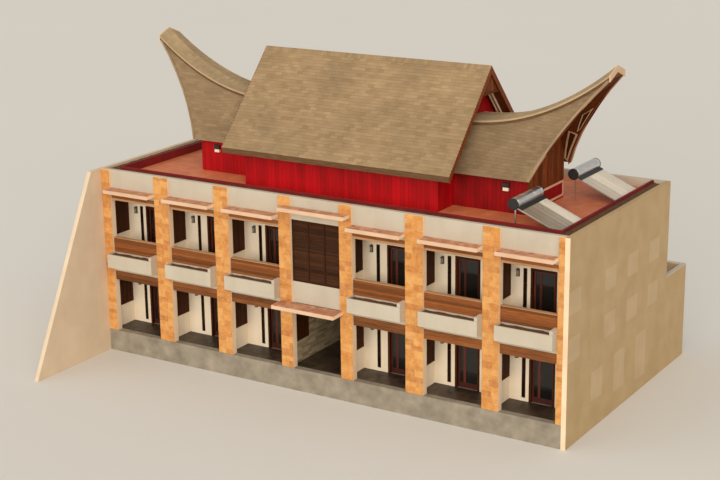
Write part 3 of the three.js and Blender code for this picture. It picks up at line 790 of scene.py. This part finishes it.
def side_screen(slats, rails, start, floor):
    """Upright slats on the wall at the left of a bay."""
    foot, top, front, back = floor + 0.95, floor + 2.45, 0.32, ROOM_WALL_FRONT - 0.04
    rail, deep, high = start + 0.012, start + 0.03, 0.04
    for z in (foot, (foot + top - high) / 2, top - high):
        board(rails, (start, front, z), (rail, back, z + high))
    count = round((back - front) / 0.07)
    pitch = (back - front) / count
    for i in range(count):
        y = front + i * pitch
        board(slats, (rail, y + 0.004, foot), (deep, y + pitch - 0.014, top))


def build_room_fronts():
    """Door frames, upper doors, strip windows, lanterns and side screens of both floors."""
    frames, leaves, panes, strips, strip_panes, metal, shade, slats, rails = start_meshes(9)
    glass_front, glass_back = ROOM_WALL_FRONT + 0.03, ROOM_WALL_FRONT + 0.036
    for floor in (0.0, UPPER_FLOOR):
        for n in SIDE_BAYS:
            start = bay_start(n)
            door, strip = start + DOOR_STARTS[n], start + STRIP_STARTS[n]
            door_frame(frames, door, floor)
            strip_frame(strips, strip, floor)
            block(strip_panes, (strip, glass_front, floor + STRIP_FOOT),
                  (strip + STRIP_WIDTH, glass_back, floor + STRIP_TOP))
            wall_lamp(metal, shade, strip - 0.21, floor + 1.9)
            side_screen(slats, rails, start, floor)
            if floor:
                fixed_leaf(leaves, panes, door, floor)
    side_screen(slats, rails, bay_start(MIDDLE_BAY), 0.0)
    piece("door_frames", frames, "dark_timber", bevel=0.003)
    piece("upper_door_leaves", leaves, "door", bevel=0.003)
    piece("upper_door_panes", panes, "glass")
    piece("strip_window_frames", strips, "dark_timber", bevel=0.002)
    piece("strip_window_panes", strip_panes, "glass")
    piece("lamp_metal", metal, "dark_metal", bevel=0.002)
    piece("lamp_shades", shade, "lantern")
    piece("screen_slats", slats, "dark_timber", bevel=0.002)
    piece("screen_rails", rails, "dark_timber")


def lay_floor(mesh, left, right, front, back, level):
    """Square tiles with open joints on a floor."""
    size, half_joint, thickness = 0.4, 0.002, 0.006
    columns, rows = round((right - left) / size), round((back - front) / size)
    for i in range(columns):
        for j in range(rows):
            x0, x1 = (left + (right - left) * step / columns for step in (i, i + 1))
            y0, y1 = (front + (back - front) * step / rows for step in (j, j + 1))
            board(mesh, (x0 + half_joint, y0 + half_joint, level),
                  (x1 - half_joint, y1 - half_joint, level + thickness))


def build_floors():
    """Floor tiles of the porches, the balconies and the passage, dark to paint the shade on these floors."""
    tiles = start_mesh()
    margin = 0.004
    for n in range(1, 8):
        left = bay_start(n) + margin
        right = (bay_start(n + 1) - DIVIDER if n < 7 else LENGTH) - margin
        if n == MIDDLE_BAY:
            lay_floor(tiles, left, right, PIER_BACK, REAR - 0.2, 0.0)
            continue
        for floor, front in ((0.0, PIER_BACK), (UPPER_FLOOR, GUARD_BACK)):
            lay_floor(tiles, left, right, front + margin, ROOM_WALL_FRONT - margin, floor)
    piece("floor_tiles", tiles, "shade_dark_floor")


def build_passage_walls():
    """Courses of thin stone slips on both walls of the passage."""
    slips = start_mesh()
    height, courses = 0.1, 28
    for side, face in ((1, bay_start(MIDDLE_BAY)), (-1, bay_start(MIDDLE_BAY + 1) - DIVIDER)):
        for row in range(courses):
            for y0, y1 in random_lengths(PIER_BACK + 0.02, REAR - 0.25, 0.4, 0.7, 0.2):
                x0, x1 = sorted((face, face + side * rng.uniform(0.006, 0.011)))
                z0, z1 = row * height + 0.01, (row + 1) * height + 0.004
                board(slips, (x0, y0 + 0.002, z0), (x1, y1 - 0.002, z1))
    piece("passage_stone_slips", slips, "slip")


def build_doors():
    """Panes, a middle stile and pull handles on each hinged leaf."""
    foot, top = DOOR_GAP + 2 * STILE, DOOR_HEIGHT - DOOR_GAP - STILE
    bar_foot, low_bracket, high_bracket, bar_top, reach = 0.92, 0.95, 1.15, 1.18, 0.045
    gap = 0.001
    for n in SIDE_BAYS:
        low = bay_start(n) + DOOR_STARTS[n] + DOOR_GAP
        high = low + DOOR_WIDTH - 2 * DOOR_GAP
        panes, stile, handle = start_meshes(3)
        left, right = low + STILE + gap, high - STILE - gap
        for y in (LEAF_OUTSIDE + RECESS - 0.006, LEAF_INSIDE - RECESS + gap):
            block(panes, (left, y, foot + gap), (right, y + 0.005, top - gap))
        piece(f"door_panes_{n}", panes, "glass", body=f"door_{n}")
        for y0, y1 in ((LEAF_OUTSIDE, LEAF_OUTSIDE + RECESS), (LEAF_INSIDE - RECESS, LEAF_INSIDE)):
            board(stile, (low + MIDDLE_STILE, y0, foot), (low + MIDDLE_STILE + STILE, y1, top))
        piece(f"door_middle_stile_{n}", stile, "door", body=f"door_{n}", bevel=0.002)
        x = high - STILE / 2
        for face, bar in ((LEAF_OUTSIDE, LEAF_OUTSIDE - reach), (LEAF_INSIDE, LEAF_INSIDE + reach)):
            for z in (low_bracket, high_bracket):
                rod(handle, (x, face, z), (x, bar, z), 0.006)
            rod(handle, (x, bar, bar_foot), (x, bar, bar_top), 0.009)
        piece(f"door_handle_{n}", handle, "steel", body=f"door_{n}")


# Middle bay

def build_centre_screen():
    """Posts, rails and tilted louvres of the screen in the middle bay."""
    low, high = corners("centre_screen")
    posts, louvres = start_meshes(2)
    panels, half_post, rail, tilt = 3, 0.03, 0.07, (0, -0.75, 0.66)
    width = (high.x - low.x) / panels
    for i in range(panels + 1):
        x = low.x + i * width
        left, right = max(x - half_post, low.x), min(x + half_post, high.x)
        board(posts, (left, low.y - 0.02, low.z), (right, high.y, high.z))
    for z in (low.z, low.z + 0.5, high.z - rail):
        board(posts, (low.x, low.y - 0.018, z), (high.x, high.y, z + rail))
    rows = round((high.z - low.z) / 0.065)
    pitch = (high.z - low.z) / rows
    for row in range(rows):
        y, z = low.y + 0.02, low.z + (row + 0.5) * pitch
        beam(louvres, (low.x + 0.01, y, z), (high.x - 0.01, y, z), 0.062, 0.01, tilt, rng.random())
    piece("centre_screen_posts", posts, "dark_timber", bevel=0.003,
          replaces=["centre_screen"])
    piece("centre_screen_louvres", louvres, "dark_rail")


# Side walls, terrace and back

def build_side_walls():
    """Raised pale panels on the right wall, the bright end of that wall and the annex's copings."""
    face = corners("right_side_wall")[1].x
    panels, copings, end = start_meshes(3)
    first, pitch, width = 0.05, 1.1, 1.02
    rows = [(column, foot, top) for foot, top in ((4.31, 5.22), (2.45, 3.39)) for column in (0, 3, 5, 7)]
    for column, foot, top in rows + [(2, 0.2, 1.4), (4, -0.15, 1.47), (6, -0.41, 1.56)]:
        y = first + column * pitch
        block(panels, (face - 0.01, y, foot), (face + 0.004, y + width, top))
    piece("right_wall_panels", panels, "panel", bevel=0.004)
    block(end, (face - SIDE_WALL, -0.012, PLINTH[0].z - START.z), (face, 0.0, PARAPET))
    piece("right_wall_end", end, "cream", bevel=0.003)
    top = ANNEX_TOP + 0.05
    for x0, x1 in ((-SIDE_WALL, 0.0), (LENGTH, LENGTH + SIDE_WALL)):
        block(copings, (x0, REAR, ANNEX_TOP), (x1, ANNEX_REAR, top))
    block(copings, (0, ANNEX_REAR - 0.2, ANNEX_TOP), (LENGTH, ANNEX_REAR, top))
    piece("annex_copings", copings, "plaster", bevel=0.006)


def build_terrace():
    """Soil in the planting bed between the parapet and the kerb."""
    earth = start_mesh()
    gap = 0.002
    kerb_low, kerb_high = corners("terrace_kerb")
    front, level = FASCIA_Y + 0.18, PARAPET - 0.1
    fill_bed(earth, (gap, front), (kerb_low.x - gap, kerb_high.y), level)
    fill_bed(earth, (kerb_high.x + gap, front), (LENGTH - gap, kerb_high.y), level)
    fill_bed(earth, (kerb_low.x, front), (kerb_high.x, kerb_low.y - gap), level)
    piece("terrace_soil", earth, "soil")


def window_frame(frames, sills, middle, foot, top, wall_y):
    """Two-light frame and sill of a back window."""
    left, right, bar = middle - 0.6, middle + 0.6, 0.05
    middle_bar = ((middle - bar / 2, foot + bar), (middle + bar / 2, top - bar))
    frame_bars(frames, (*frame_sides(left, right, foot, top, bar, bar), middle_bar),
               wall_y - 0.14, wall_y - 0.08)
    block(sills, (left - 0.06, wall_y - 0.05, foot - 0.05), (right + 0.06, wall_y, foot))


def build_back():
    frames, sills = start_meshes(2)
    for n in range(1, 8):
        middle = (pier_middle(n) + pier_middle(n + 1)) / 2
        window_frame(frames, sills, middle, 4.3, 5.4, REAR)
        if n != MIDDLE_BAY:
            window_frame(frames, sills, middle, 1.4, 2.1, ANNEX_REAR)
    piece("back_window_frames", frames, "dark_timber", bevel=0.003)
    piece("back_window_sills", sills, "plaster", bevel=0.005)


# Solar heaters

def build_heater(name, start, tones):
    """Solar heater whose collector has three fields of fins, each with its own tone of painted reflection:
    dark where the roof is mirrored, pale where the sky is.
    """
    tank_x, tank_z, radius, length, cap, sides = 19.38, 8.0, 0.23, 2.25, 0.07, 40
    head_x, head_z, foot_x, foot_z = tank_x + 0.1, 7.9, 21.32, 7.12
    end, middle, upward = start + length, start + length / 2, (0.4, 0, 0.9)
    tank, caps, fins, rails, back, shadow_strip = start_meshes(6)
    rod(tank, (tank_x, start + cap, tank_z), (tank_x, end - cap, tank_z), radius - 0.004, sides)
    for y in (start + 0.1, start + 0.75, end - 0.75, end - 0.1):
        rod(tank, (tank_x, y - 0.012, tank_z), (tank_x, y + 0.012, tank_z), radius, sides)
    for y0, y1 in ((start, start + cap), (end - cap, end)):
        rod(caps, (tank_x, y0, tank_z), (tank_x, y1, tank_z), radius, sides)
    count, per_field = 18, 6
    pitch = (length - 0.2) / count
    for i in range(count):
        y = start + 0.1 + (i + 0.5) * pitch
        width = pitch - (0.03 if i % per_field in (0, per_field - 1) else 0.008)
        # Painted reflection: the field's tone, with a little random spread for each fin.
        tint = tones[i // per_field] + rng.uniform(-0.08, 0.08)
        beam(fins, (head_x, y, head_z), (foot_x, y, foot_z), width, 0.02, upward, tint)
    sheet_width = length - 0.12
    beam(back, (head_x, middle, head_z - 0.03), (foot_x, middle, foot_z - 0.03), sheet_width, 0.015, upward)
    piece(f"heater_back_{name}", back, "collector")
    # Black strip along the head of the collector, under the tank: painted shadow of the tank on the
    # collector.
    beam(shadow_strip, (head_x, middle, head_z + 0.025), (head_x + 0.27, middle, head_z - 0.09),
         sheet_width, 0.03, upward)
    piece(f"heater_shadow_strip_{name}", shadow_strip, "rubber", bevel=0.006)
    for share in (0.08, 0.5, 0.97):
        x, z = head_x + share * (foot_x - head_x), head_z + share * (foot_z - head_z) - 0.035
        beam(rails, (x, start + 0.1, z), (x, end - 0.1, z), 0.08, 0.025, upward)
    for y in (start + 0.09, end - 0.09):
        beam(rails, (head_x, y, head_z - 0.03), (foot_x + 0.02, y, foot_z - 0.03), 0.04, 0.05, upward)
    for y in (start + 0.22, end - 0.26):
        block(rails, (tank_x - 0.025, y, TERRACE), (tank_x + 0.025, y + 0.04, tank_z - 0.1))
        block(rails, (foot_x - 0.1, y, TERRACE), (foot_x - 0.06, y + 0.04, foot_z + 0.01))
    piece(f"heater_tank_{name}", tank, "steel", replaces=[f"solar_heater_{name}"], bevel=0.003)
    piece(f"heater_caps_{name}", caps, "rubber", bevel=0.02)
    piece(f"heater_fins_{name}", fins, "fin_metal", bevel=0.004)
    piece(f"heater_rails_{name}", rails, "steel", bevel=0.002)


# Tongkonan walls

def in_house(x, y, z):
    """A building point from one measured from the middle of the house."""
    return (HOUSE.x + x, HOUSE.y + y, z)


def house_block(mesh, first, second, tint=0.5):
    """Adds a box between any two opposite corners, measured from the middle of the house."""
    low, high = zip(*(sorted(pair) for pair in zip(first, second)))
    return block(mesh, in_house(*low), in_house(*high), tint)


def prow_reach(h):
    """How far the slanting end of the prow reaches out at h up its side, bowed in between eave and tip."""
    return EAVE_REACH + h * (TIP_REACH - EAVE_REACH) - 4 * BOW * h * (1 - h)


def prow_point(t, across, up):
    """Point of the prow at t from the house to the tip, from the middle of the house."""
    on_roof = min(max(up, 0) / PROW_RISE, 1)
    return (BODY_END + t * prow_reach(on_roof), across * (1 - NARROWING * t * on_roof),
            PROW_EAVE + up + on_roof * PROW_LIFT * t ** SWEEP)


def side_point(t, h, foot, head, rise):
    """Point at h up a side that is made of flat strips, from foot to head away from the middle."""
    strip = min(max(int(h * STRIPS), 0), STRIPS - 1)
    low, high = (Vector(prow_point(t, foot + (head - foot) * up, rise * up))
                 for up in (strip / STRIPS, (strip + 1) / STRIPS))
    return low.lerp(high, h * STRIPS - strip)


def flank_point(t, h):
    """Point of the prow's outer face at h up it, where y is positive."""
    return side_point(t, h, PROW_DEPTH, PROW_TOP_DEPTH, PROW_RISE)


def lining_point(t, h, depth=0.0):
    """Point of the prow's inner face, or depth off it, at h up it, where y is positive."""
    return side_point(t, h, PROW_DEPTH - SKIN - depth, PROW_TOP_DEPTH - SKIN - depth, PROW_RISE - DECK)


def halved(is_low, steps):
    """The number between 0 and 1 below which is_low holds, found by halving."""
    low, high = 0.0, 1.0
    for _ in range(steps):
        middle = (low + high) / 2
        low, high = (middle, high) if is_low(middle) else (low, middle)
    return low


def under_flank(x, y):
    """Height of the inner face of the prow over a point of the floor."""
    def under(h):
        return lining_point((x - BODY_END) / prow_reach(h * (PROW_RISE - DECK) / PROW_RISE), h)

    return under(halved(lambda h: under(h).y > abs(y), 30)).z


def under_main_roof(y):
    """Height of the main roof's underside at y from the middle."""
    return ROOF_EAVE + (ROOF_DEPTH - abs(y)) * ROOF_RISE / ROOF_DEPTH


def board_wall(mesh, start, end, place, foot, top, width=0.19, proud=0.018):
    """Upright boards side by side. place(s, depth) gives (x, y) at s along the wall, top(s) the height."""
    count = max(1, round((end - start) / width))
    pitch, half_gap, least = (end - start) / count, 0.0025, 0.5
    for i in range(count):
        s0, s1 = start + i * pitch + half_gap, start + (i + 1) * pitch - half_gap
        depth = proud * rng.uniform(0.85, 1.0)
        verts = house_block(mesh, (*place(s0, 0.0), foot), (*place(s1, depth), foot + least), rng.random())
        sides = [(at(*in_house(*place(s, 0), 0)), at(0, 0, top(s)).z) for s in (s0, s1)]
        for vert in verts:
            if vert.co.z > at(0, 0, foot + least / 2).z:
                vert.co.z = min(sides, key=lambda side: (vert.co - side[0]).xy.length)[1]


def build_house_boards():
    """Red boards on the body and the wings of the house, and its corner posts. The right wing's boards take
    a darker copy of the red, which is painted shade on that wing.
    """
    body, posts = start_meshes(2)
    roof_over_wall, roof_over_wing = under_main_roof(BODY_DEPTH) - 0.04, 8.5
    for side, name, colour in ((-1, "left", "red"), (1, "right", "shaded_red")):
        wings = start_mesh()
        board_wall(body, -BODY_END, BODY_END, lambda s, d: (s, side * (BODY_DEPTH + d)), BOARD_FOOT,
                   lambda s: roof_over_wall)
        board_wall(body, -BODY_DEPTH, BODY_DEPTH, lambda s, d: (side * (BODY_END + d), s), BOARD_FOOT,
                   lambda s: under_main_roof(s) - 0.03)
        for y_side in (-1, 1):
            board_wall(wings, BODY_END + 0.03, WING_END, lambda s, d: (side * s, y_side * (WING_DEPTH + d)),
                       BOARD_FOOT, lambda s: roof_over_wing)
            house_block(posts, (side * (BODY_END - 0.1), y_side * (BODY_DEPTH - 0.1), TERRACE),
                        (side * (BODY_END + 0.022), y_side * (BODY_DEPTH + 0.024), 8.85), 0.3)
        board_wall(wings, -WING_DEPTH, WING_DEPTH, lambda s, d: (side * (WING_END + d), s), BOARD_FOOT,
                   lambda s: GABLE_FOOT - 0.01)
        piece(f"wing_boards_{name}", wings, colour, bevel=0.003)
    piece("body_boards", body, "red", bevel=0.003)
    piece("corner_posts", posts, "red", bevel=0.004)


def build_wing_lamps():
    """Small lamp box on the long walls of each wing."""
    boxes, shades = start_meshes(2)
    wall, place = WING_DEPTH + 0.018, 7.0
    for mesh, foot, top, half, deep in ((boxes, 7.98, 8.16, 0.15, 0.12), (shades, 7.84, 7.98, 0.12, 0.1)):
        for side in (-1, 1):
            for y_side in (-1, 1):
                house_block(mesh, (side * (place - half), y_side * wall, foot),
                            (side * (place + half), y_side * (wall + deep), top))
    piece("wing_lamp_boxes", boxes, "dark_metal", bevel=0.006)
    piece("wing_lamp_shades", shades, "lamp", bevel=0.006)


def build_gables():
    """Brown planks of the prow gables and the framed red panel under them."""
    left, right, foot, top, bar = -0.4, 1.6, 7.03, 7.69, 0.09
    for side, name in ((-1, "left"), (1, "right")):
        planks, rails = start_meshes(2)
        face, outer = side * (WING_END + 0.02), side * (WING_END + 0.045)
        board_wall(planks, -WING_DEPTH + 0.01, WING_DEPTH - 0.01, lambda s, d: (side * (WING_END + d), s),
                   GABLE_FOOT + 0.01, lambda s: under_flank(abs(face), s) - 0.03, width=0.14, proud=0.022)
        piece(f"gable_planks_{name}", planks, "plank", bevel=0.003)
        for (y0, z0), (y1, z1) in (((left, foot), (right, foot + bar)), ((left, top - bar), (right, top)),
                                   ((left, foot + bar), (left + bar, top - bar)),
                                   ((right - bar, foot + bar), (right, top - bar))):
            house_block(rails, (face, side * y0, z0), (outer, side * y1, z1))
        piece(f"gable_panel_frame_{name}", rails, "pink", bevel=0.004)


# Tongkonan roofs

def build_main_roof():
    """Courses of shingles on both slopes of the main roof, and the bent ones along its ridge."""
    slope = math.hypot(ROOF_DEPTH, ROOF_RISE)
    half, courses, tabs_across, overlap = ROOF_END + 0.02, round(slope / EXPOSURE), 36, 0.02
    step = slope / courses
    for side, name in ((-1, "front"), (1, "back")):
        tabs = start_mesh()

        def on_slope(u, s, lift):
            share = s / slope
            out = ROOF_DEPTH - share * ROOF_DEPTH + lift * ROOF_RISE / slope
            up = ROOF_EAVE + ROOF_PLUMB + share * ROOF_RISE + lift * ROOF_DEPTH / slope
            return in_house((u * 2 - 1) * half, side * out, up)

        for row in range(courses):
            lay_course(tabs, on_slope, row * step - overlap, (row + 1) * step, tabs_across,
                       stagger=row % 2 == 1)
        piece(f"main_roof_shingles_{name}", tabs, "shingle")
    ridge = start_mesh()
    count, drop = 2 * tabs_across, 0.16
    width = 2 * half / count
    for i in range(count):
        tint = random_tint(0.2)
        for side in (-1, 1):
            def on_ridge(u, v):
                up = ROOF_RIDGE + 0.03 - v * drop * ROOF_RISE / ROOF_DEPTH + 0.004 * u
                return in_house(-half + i * width + u * (width - 0.004), side * v * drop, up)

            sheet(ridge, on_ridge, 1, 1, TAB, tint)
    piece("main_roof_ridge_shingles", ridge, "shingle")


def chevron(mesh, place, half, foot, apex, drop):
    """Two sloping boards that meet at the ridge, as one solid between place(0, y, z) and place(1, y, z)."""
    upper = [(-half, foot), (0, apex), (half, foot)]
    sweep(mesh, upper + [(y, z - drop) for y, z in reversed(upper)], place, 1)


def build_main_roof_edges():
    """Barge boards, rafters and apex planks at the main roof's ends, and the boards along its eaves."""
    barge, rafters, fascia, panels, sills = start_meshes(5)
    apex = ROOF_EAVE + ROOF_RISE
    for end in (-1, 1):
        chevron(barge, lambda t, y, z: in_house(end * (ROOF_END - 0.005 + 0.03 * t), y, z),
                ROOF_DEPTH - 0.02, ROOF_EAVE + 0.26, apex + 0.24, 0.32)
        for x in (BODY_END + 0.2, BODY_END + 0.36):
            chevron(rafters, lambda t, y, z: in_house(end * (x - 0.025 + 0.05 * t), y, z),
                    ROOF_DEPTH - 0.1, ROOF_EAVE + 0.1, apex + 0.04, 0.13)
        board_wall(panels, -0.68, 0.68, lambda s, d: (end * (ROOF_END - 0.1 + d), s), apex - 0.83,
                   lambda s: under_main_roof(s) - 0.02, width=0.17, proud=0.03)
        house_block(sills, (end * (ROOF_END - 0.12), -0.72, apex - 0.9),
                    (end * (ROOF_END - 0.03), 0.72, apex - 0.83), 0.2)
    for side in (-1, 1):
        house_block(fascia, (-ROOF_END, side * ROOF_DEPTH, ROOF_EAVE - 0.02),
                    (ROOF_END, side * (ROOF_DEPTH + 0.02), ROOF_EAVE + ROOF_PLUMB - 0.01), 0.4)
    piece("main_roof_barge_boards", barge, "barge", bevel=0.004)
    piece("main_roof_rafters", rafters, "cream", bevel=0.004)
    piece("main_roof_fascia", fascia, "roof_edge", bevel=0.004)
    piece("main_roof_apex_planks", panels, "barge", bevel=0.003)
    piece("main_roof_apex_rails", sills, "plank", bevel=0.003)


def end_point(end, x, y, z):
    """The same point at either end of the house."""
    return in_house(end * x, end * y, z)


def slope_length(t):
    """Length of the prow's side from its eave to the ridge cap."""
    return (flank_point(t, 1) - flank_point(t, 0)).length


def build_prow_shingles(end, name):
    """Courses of shingles on both sides of a prow, which come out from under its cap one after another."""
    overlap, tab_width, last_height = 0.02, 0.3, 0.05
    for side, face in ((-1, "a"), (1, "b")):
        tabs = start_mesh()

        def on_flank(u, s, lift):
            t = u * 0.996
            reach = slope_length(t) + (0.16 if t < 0.97 else 0)
            point = flank_point(t, min(s, reach) / slope_length(t))
            return end_point(end, point.x + 0.1 * lift, side * (point.y + 0.85 * lift), point.z + 0.5 * lift)

        row = 0
        while row * EXPOSURE < slope_length(1) - last_height:
            low, high = row * EXPOSURE - overlap, (row + 1) * EXPOSURE
            start = 0.0 if slope_length(0) >= low else halved(lambda t: slope_length(t) < low, 20)
            across = flank_point(1, low / slope_length(1)) - flank_point(start, low / slope_length(start))
            lay_course(tabs, on_flank, low, high, max(2, round(across.length / tab_width)), start=start,
                       stagger=row % 2 == 1)
            row += 1
        piece(f"prow_shingles_{name}_{face}", tabs, "prow_shingle")


def cap_height(t, across):
    """Height of the cap's top over the deck."""
    share = max(1 - abs(across) / CAP_DEPTH, 0)
    return CAP_EDGE + (CAP_CROWN - CAP_EDGE) * share * (1 + CAP_SWELL * t * t)


def cap_point(t, across, up):
    """Point of the ridge cap at a height over the deck."""
    x, y, z = prow_point(t, across, PROW_RISE)
    return (x, y, z + up)


def build_cap(end, name):
    """Core, shingles and trims of the cap along a prow's ridge, and the boards on its end."""
    core, shingles, trims, ends = start_meshes(4)
    low, samples = 0.028, 100
    outline = [(-CAP_DEPTH, 0), (CAP_DEPTH, 0), (CAP_DEPTH, CAP_EDGE - low), (0, CAP_CROWN - low),
               (-CAP_DEPTH, CAP_EDGE - low)]
    sweep(core, outline, lambda t, y, z: end_point(end, *cap_point(
        t, y * 0.995, z if y else cap_height(t, 0) - low)), 36)
    piece(f"cap_core_{name}", core, "roof_edge", replaces=[f"ridge_cap_{name}"])
    tops = [Vector(cap_point(i / samples, 0, cap_height(i / samples, 0))) for i in range(samples + 1)]
    courses = round(sum((after - before).length for before, after in zip(tops, tops[1:])) / EXPOSURE)

    def on_cap(u, s, lift):
        across = (u * 2 - 1) * CAP_DEPTH
        return end_point(end, *cap_point(s, across, cap_height(s, across) - low + lift))

    for row in range(courses):
        lay_course(shingles, on_cap, max(row / courses - 0.004, 0), (row + 1) / courses, 6, slip=0,
                   lap=0.016)
    piece(f"cap_shingles_{name}", shingles, "cap_shingle")
    for side in (-1, 1):
        inner, outer, foot = side * (CAP_DEPTH - 0.01), side * (CAP_DEPTH + 0.02), CAP_EDGE - 0.075
        sweep(trims, [(inner, foot), (outer, foot), (outer, CAP_EDGE), (inner, CAP_EDGE)],
              lambda t, y, z: end_point(end, *cap_point(t, y, z)), 32)
    piece(f"cap_trims_{name}", trims, "cap_edge")

    def on_end(t, y, up):
        x, y, z = cap_point(1, y, up)
        return end_point(end, x + 0.05 * t, y, z)

    chevron(ends, on_end, CAP_DEPTH + 0.03, CAP_EDGE + 0.01, cap_height(1, 0) + 0.01, 0.26)
    piece(f"cap_end_boards_{name}", ends, "cap_end", bevel=0.004)


def rake_point(side, h, deep, out):
    """Point by the prow's slanting end, at h up it, deep under its edge and out beyond it."""
    along = (flank_point(1, h + 0.02) - flank_point(1, h - 0.02)).normalized()
    outward = Vector((along.z, 0, -along.x)).normalized()
    inward = outward.cross(along) if along.cross(outward).y > 0 else along.cross(outward)
    point = flank_point(1, h) + inward * deep + outward * out
    return (point.x, side * point.y, point.z)


def rake_strip(mesh, end, side, outline):
    """Sweeps an outline of (deep, out) points along the whole of the slanting end."""
    sweep(mesh, outline, lambda t, deep, out: end_point(end, *rake_point(side, t, deep, out)), 24)


def build_lining_panel(end, side, panels, frames, low, high):
    """Dark panel in a pale frame inside the overhang. low and high are its lower and its upper edge, each
    from the house out to the end of the prow, as (t, h) on the inner face."""
    bar, proud = 0.07, 0.045

    def on_lining(u, v, depth):
        t, h = Vector(low[0]).lerp(Vector(low[1]), v).lerp(Vector(high[0]).lerp(Vector(high[1]), v), u)
        return lining_point(t, h, depth)

    def put(u, v, depth):
        point = on_lining(u, v, depth)
        return end_point(end, point.x, side * point.y, point.z)

    def width(u):
        return (on_lining(u, 1, 0) - on_lining(u, 0, 0)).length

    height = (on_lining(1, 0.5, 0) - on_lining(0, 0.5, 0)).length
    sweep(panels, [(0, 0.002), (1, 0.002), (1, 0.02), (0, 0.02)], put, 12)
    for edge, inner in ((0, bar), (1, -bar)):
        sweep(frames, [(0, 0.004), (inner, 0.004), (inner, proud), (0, proud)],
              lambda u, across, depth: put(u, edge + across / width(u), depth), 12)
        sweep(frames, [(0, 0.004), (inner, 0.004), (inner, proud - 0.002), (0, proud - 0.002)],
              lambda v, along, depth: put(edge + along / height, v, depth), 4)


def build_barge(end, name):
    """Rake boards of the prow with pale edges, and the framed panels inside its overhang."""
    laps, boards, edges, panels, frames = start_meshes(5)
    lap_outline = [(-0.035, -0.05), (-0.035, 0.038), (-0.018, 0.038), (-0.018, 0), (0, 0), (0, -0.05)]
    for side in (-1, 1):
        rake_strip(laps, end, side, lap_outline)
        rake_strip(edges, end, side, [(-0.018, 0), (-0.018, 0.04), (0.09, 0.04), (0.09, 0)])
        rake_strip(boards, end, side, [(0.09, 0), (0.09, 0.03), (0.23, 0.03), (0.23, 0)])
        for low, high in ((((0.93, 0.05), (0.985, 0.012)), ((0.846, 0.48), (0.985, 0.365))),
                          (((0.955, 0.41), (0.985, 0.44)), ((0.897, 0.69), (0.985, 0.71)))):
            build_lining_panel(end, side, panels, frames, low, high)
    piece(f"prow_barge_boards_{name}", boards, "barge", bevel=0.004)
    piece(f"prow_barge_edges_{name}", edges, "rake_edge", bevel=0.004)
    piece(f"prow_rake_laps_{name}", laps, "roof_trim", bevel=0.004)
    piece(f"prow_lining_panels_{name}", panels, "dark_timber")
    piece(f"prow_lining_frames_{name}", frames, "rake_edge")


def build_prow(end, name):
    build_prow_shingles(end, name)
    build_cap(end, name)
    build_barge(end, name)


# Studio

def build_stage_floor():
    mesh = bmesh.new()
    bmesh.ops.create_circle(mesh, cap_ends=True, segments=64, radius=500)
    data = bpy.data.meshes.new("studio_floor")
    mesh.to_mesh(data)
    mesh.free()
    data.materials.append(pale_floor())
    floor = bpy.data.objects.new("studio_floor", data)
    floor.location.z = CAD_BOX[0].z - 0.002
    bpy.context.scene.collection.objects.link(floor)


def add_sun(name, energy, angle, azimuth, height):
    """Soft sun light from the front, turned to the right by azimuth and up by height."""
    data = bpy.data.lights.new(name, "SUN")
    data.energy, data.angle, data.color = energy, math.radians(angle), (1.0, 0.95, 0.86)
    light = bpy.data.objects.new(name, data)
    turn, rise = math.radians(azimuth), math.radians(height)
    towards = Vector((math.sin(turn) * math.cos(rise), -math.cos(turn) * math.cos(rise), math.sin(rise)))
    light.rotation_mode = "QUATERNION"
    light.rotation_quaternion = towards.to_track_quat("Z", "Y")
    bpy.context.scene.collection.objects.link(light)


def build_studio():
    build_stage_floor()
    world = bpy.data.worlds.new("studio")
    world.use_nodes = True
    background = world.node_tree.nodes["Background"]
    background.inputs["Color"].default_value = (1.0, 0.97, 0.93, 1)
    background.inputs["Strength"].default_value = 0.5
    bpy.context.scene.world = world
    add_sun("key", 1.2, 40, 42, 30)
    add_sun("front", 1.1, 30, 8, 10)
    add_sun("fill", 0.45, 60, -50, 35)
    bpy.context.scene.view_settings.view_transform = "Standard"


add_camera()
build_studio()
finish_cad_nodes()
build_piers()
build_canopies()
build_headers()
build_balconies()
build_room_fronts()
build_floors()
build_passage_walls()
build_doors()
build_centre_screen()
build_side_walls()
build_terrace()
build_back()
# The field tones are painted reflections. The front heater's first two fields mirror the dark roof.
build_heater("front", 0.9, (0.12, 0.25, 0.9))
build_heater("rear", 6.25, (0.65, 0.95, 0.8))
build_house_boards()
build_wing_lamps()
build_gables()
build_main_roof()
build_main_roof_edges()
build_prow(1, "right")
build_prow(-1, "left")
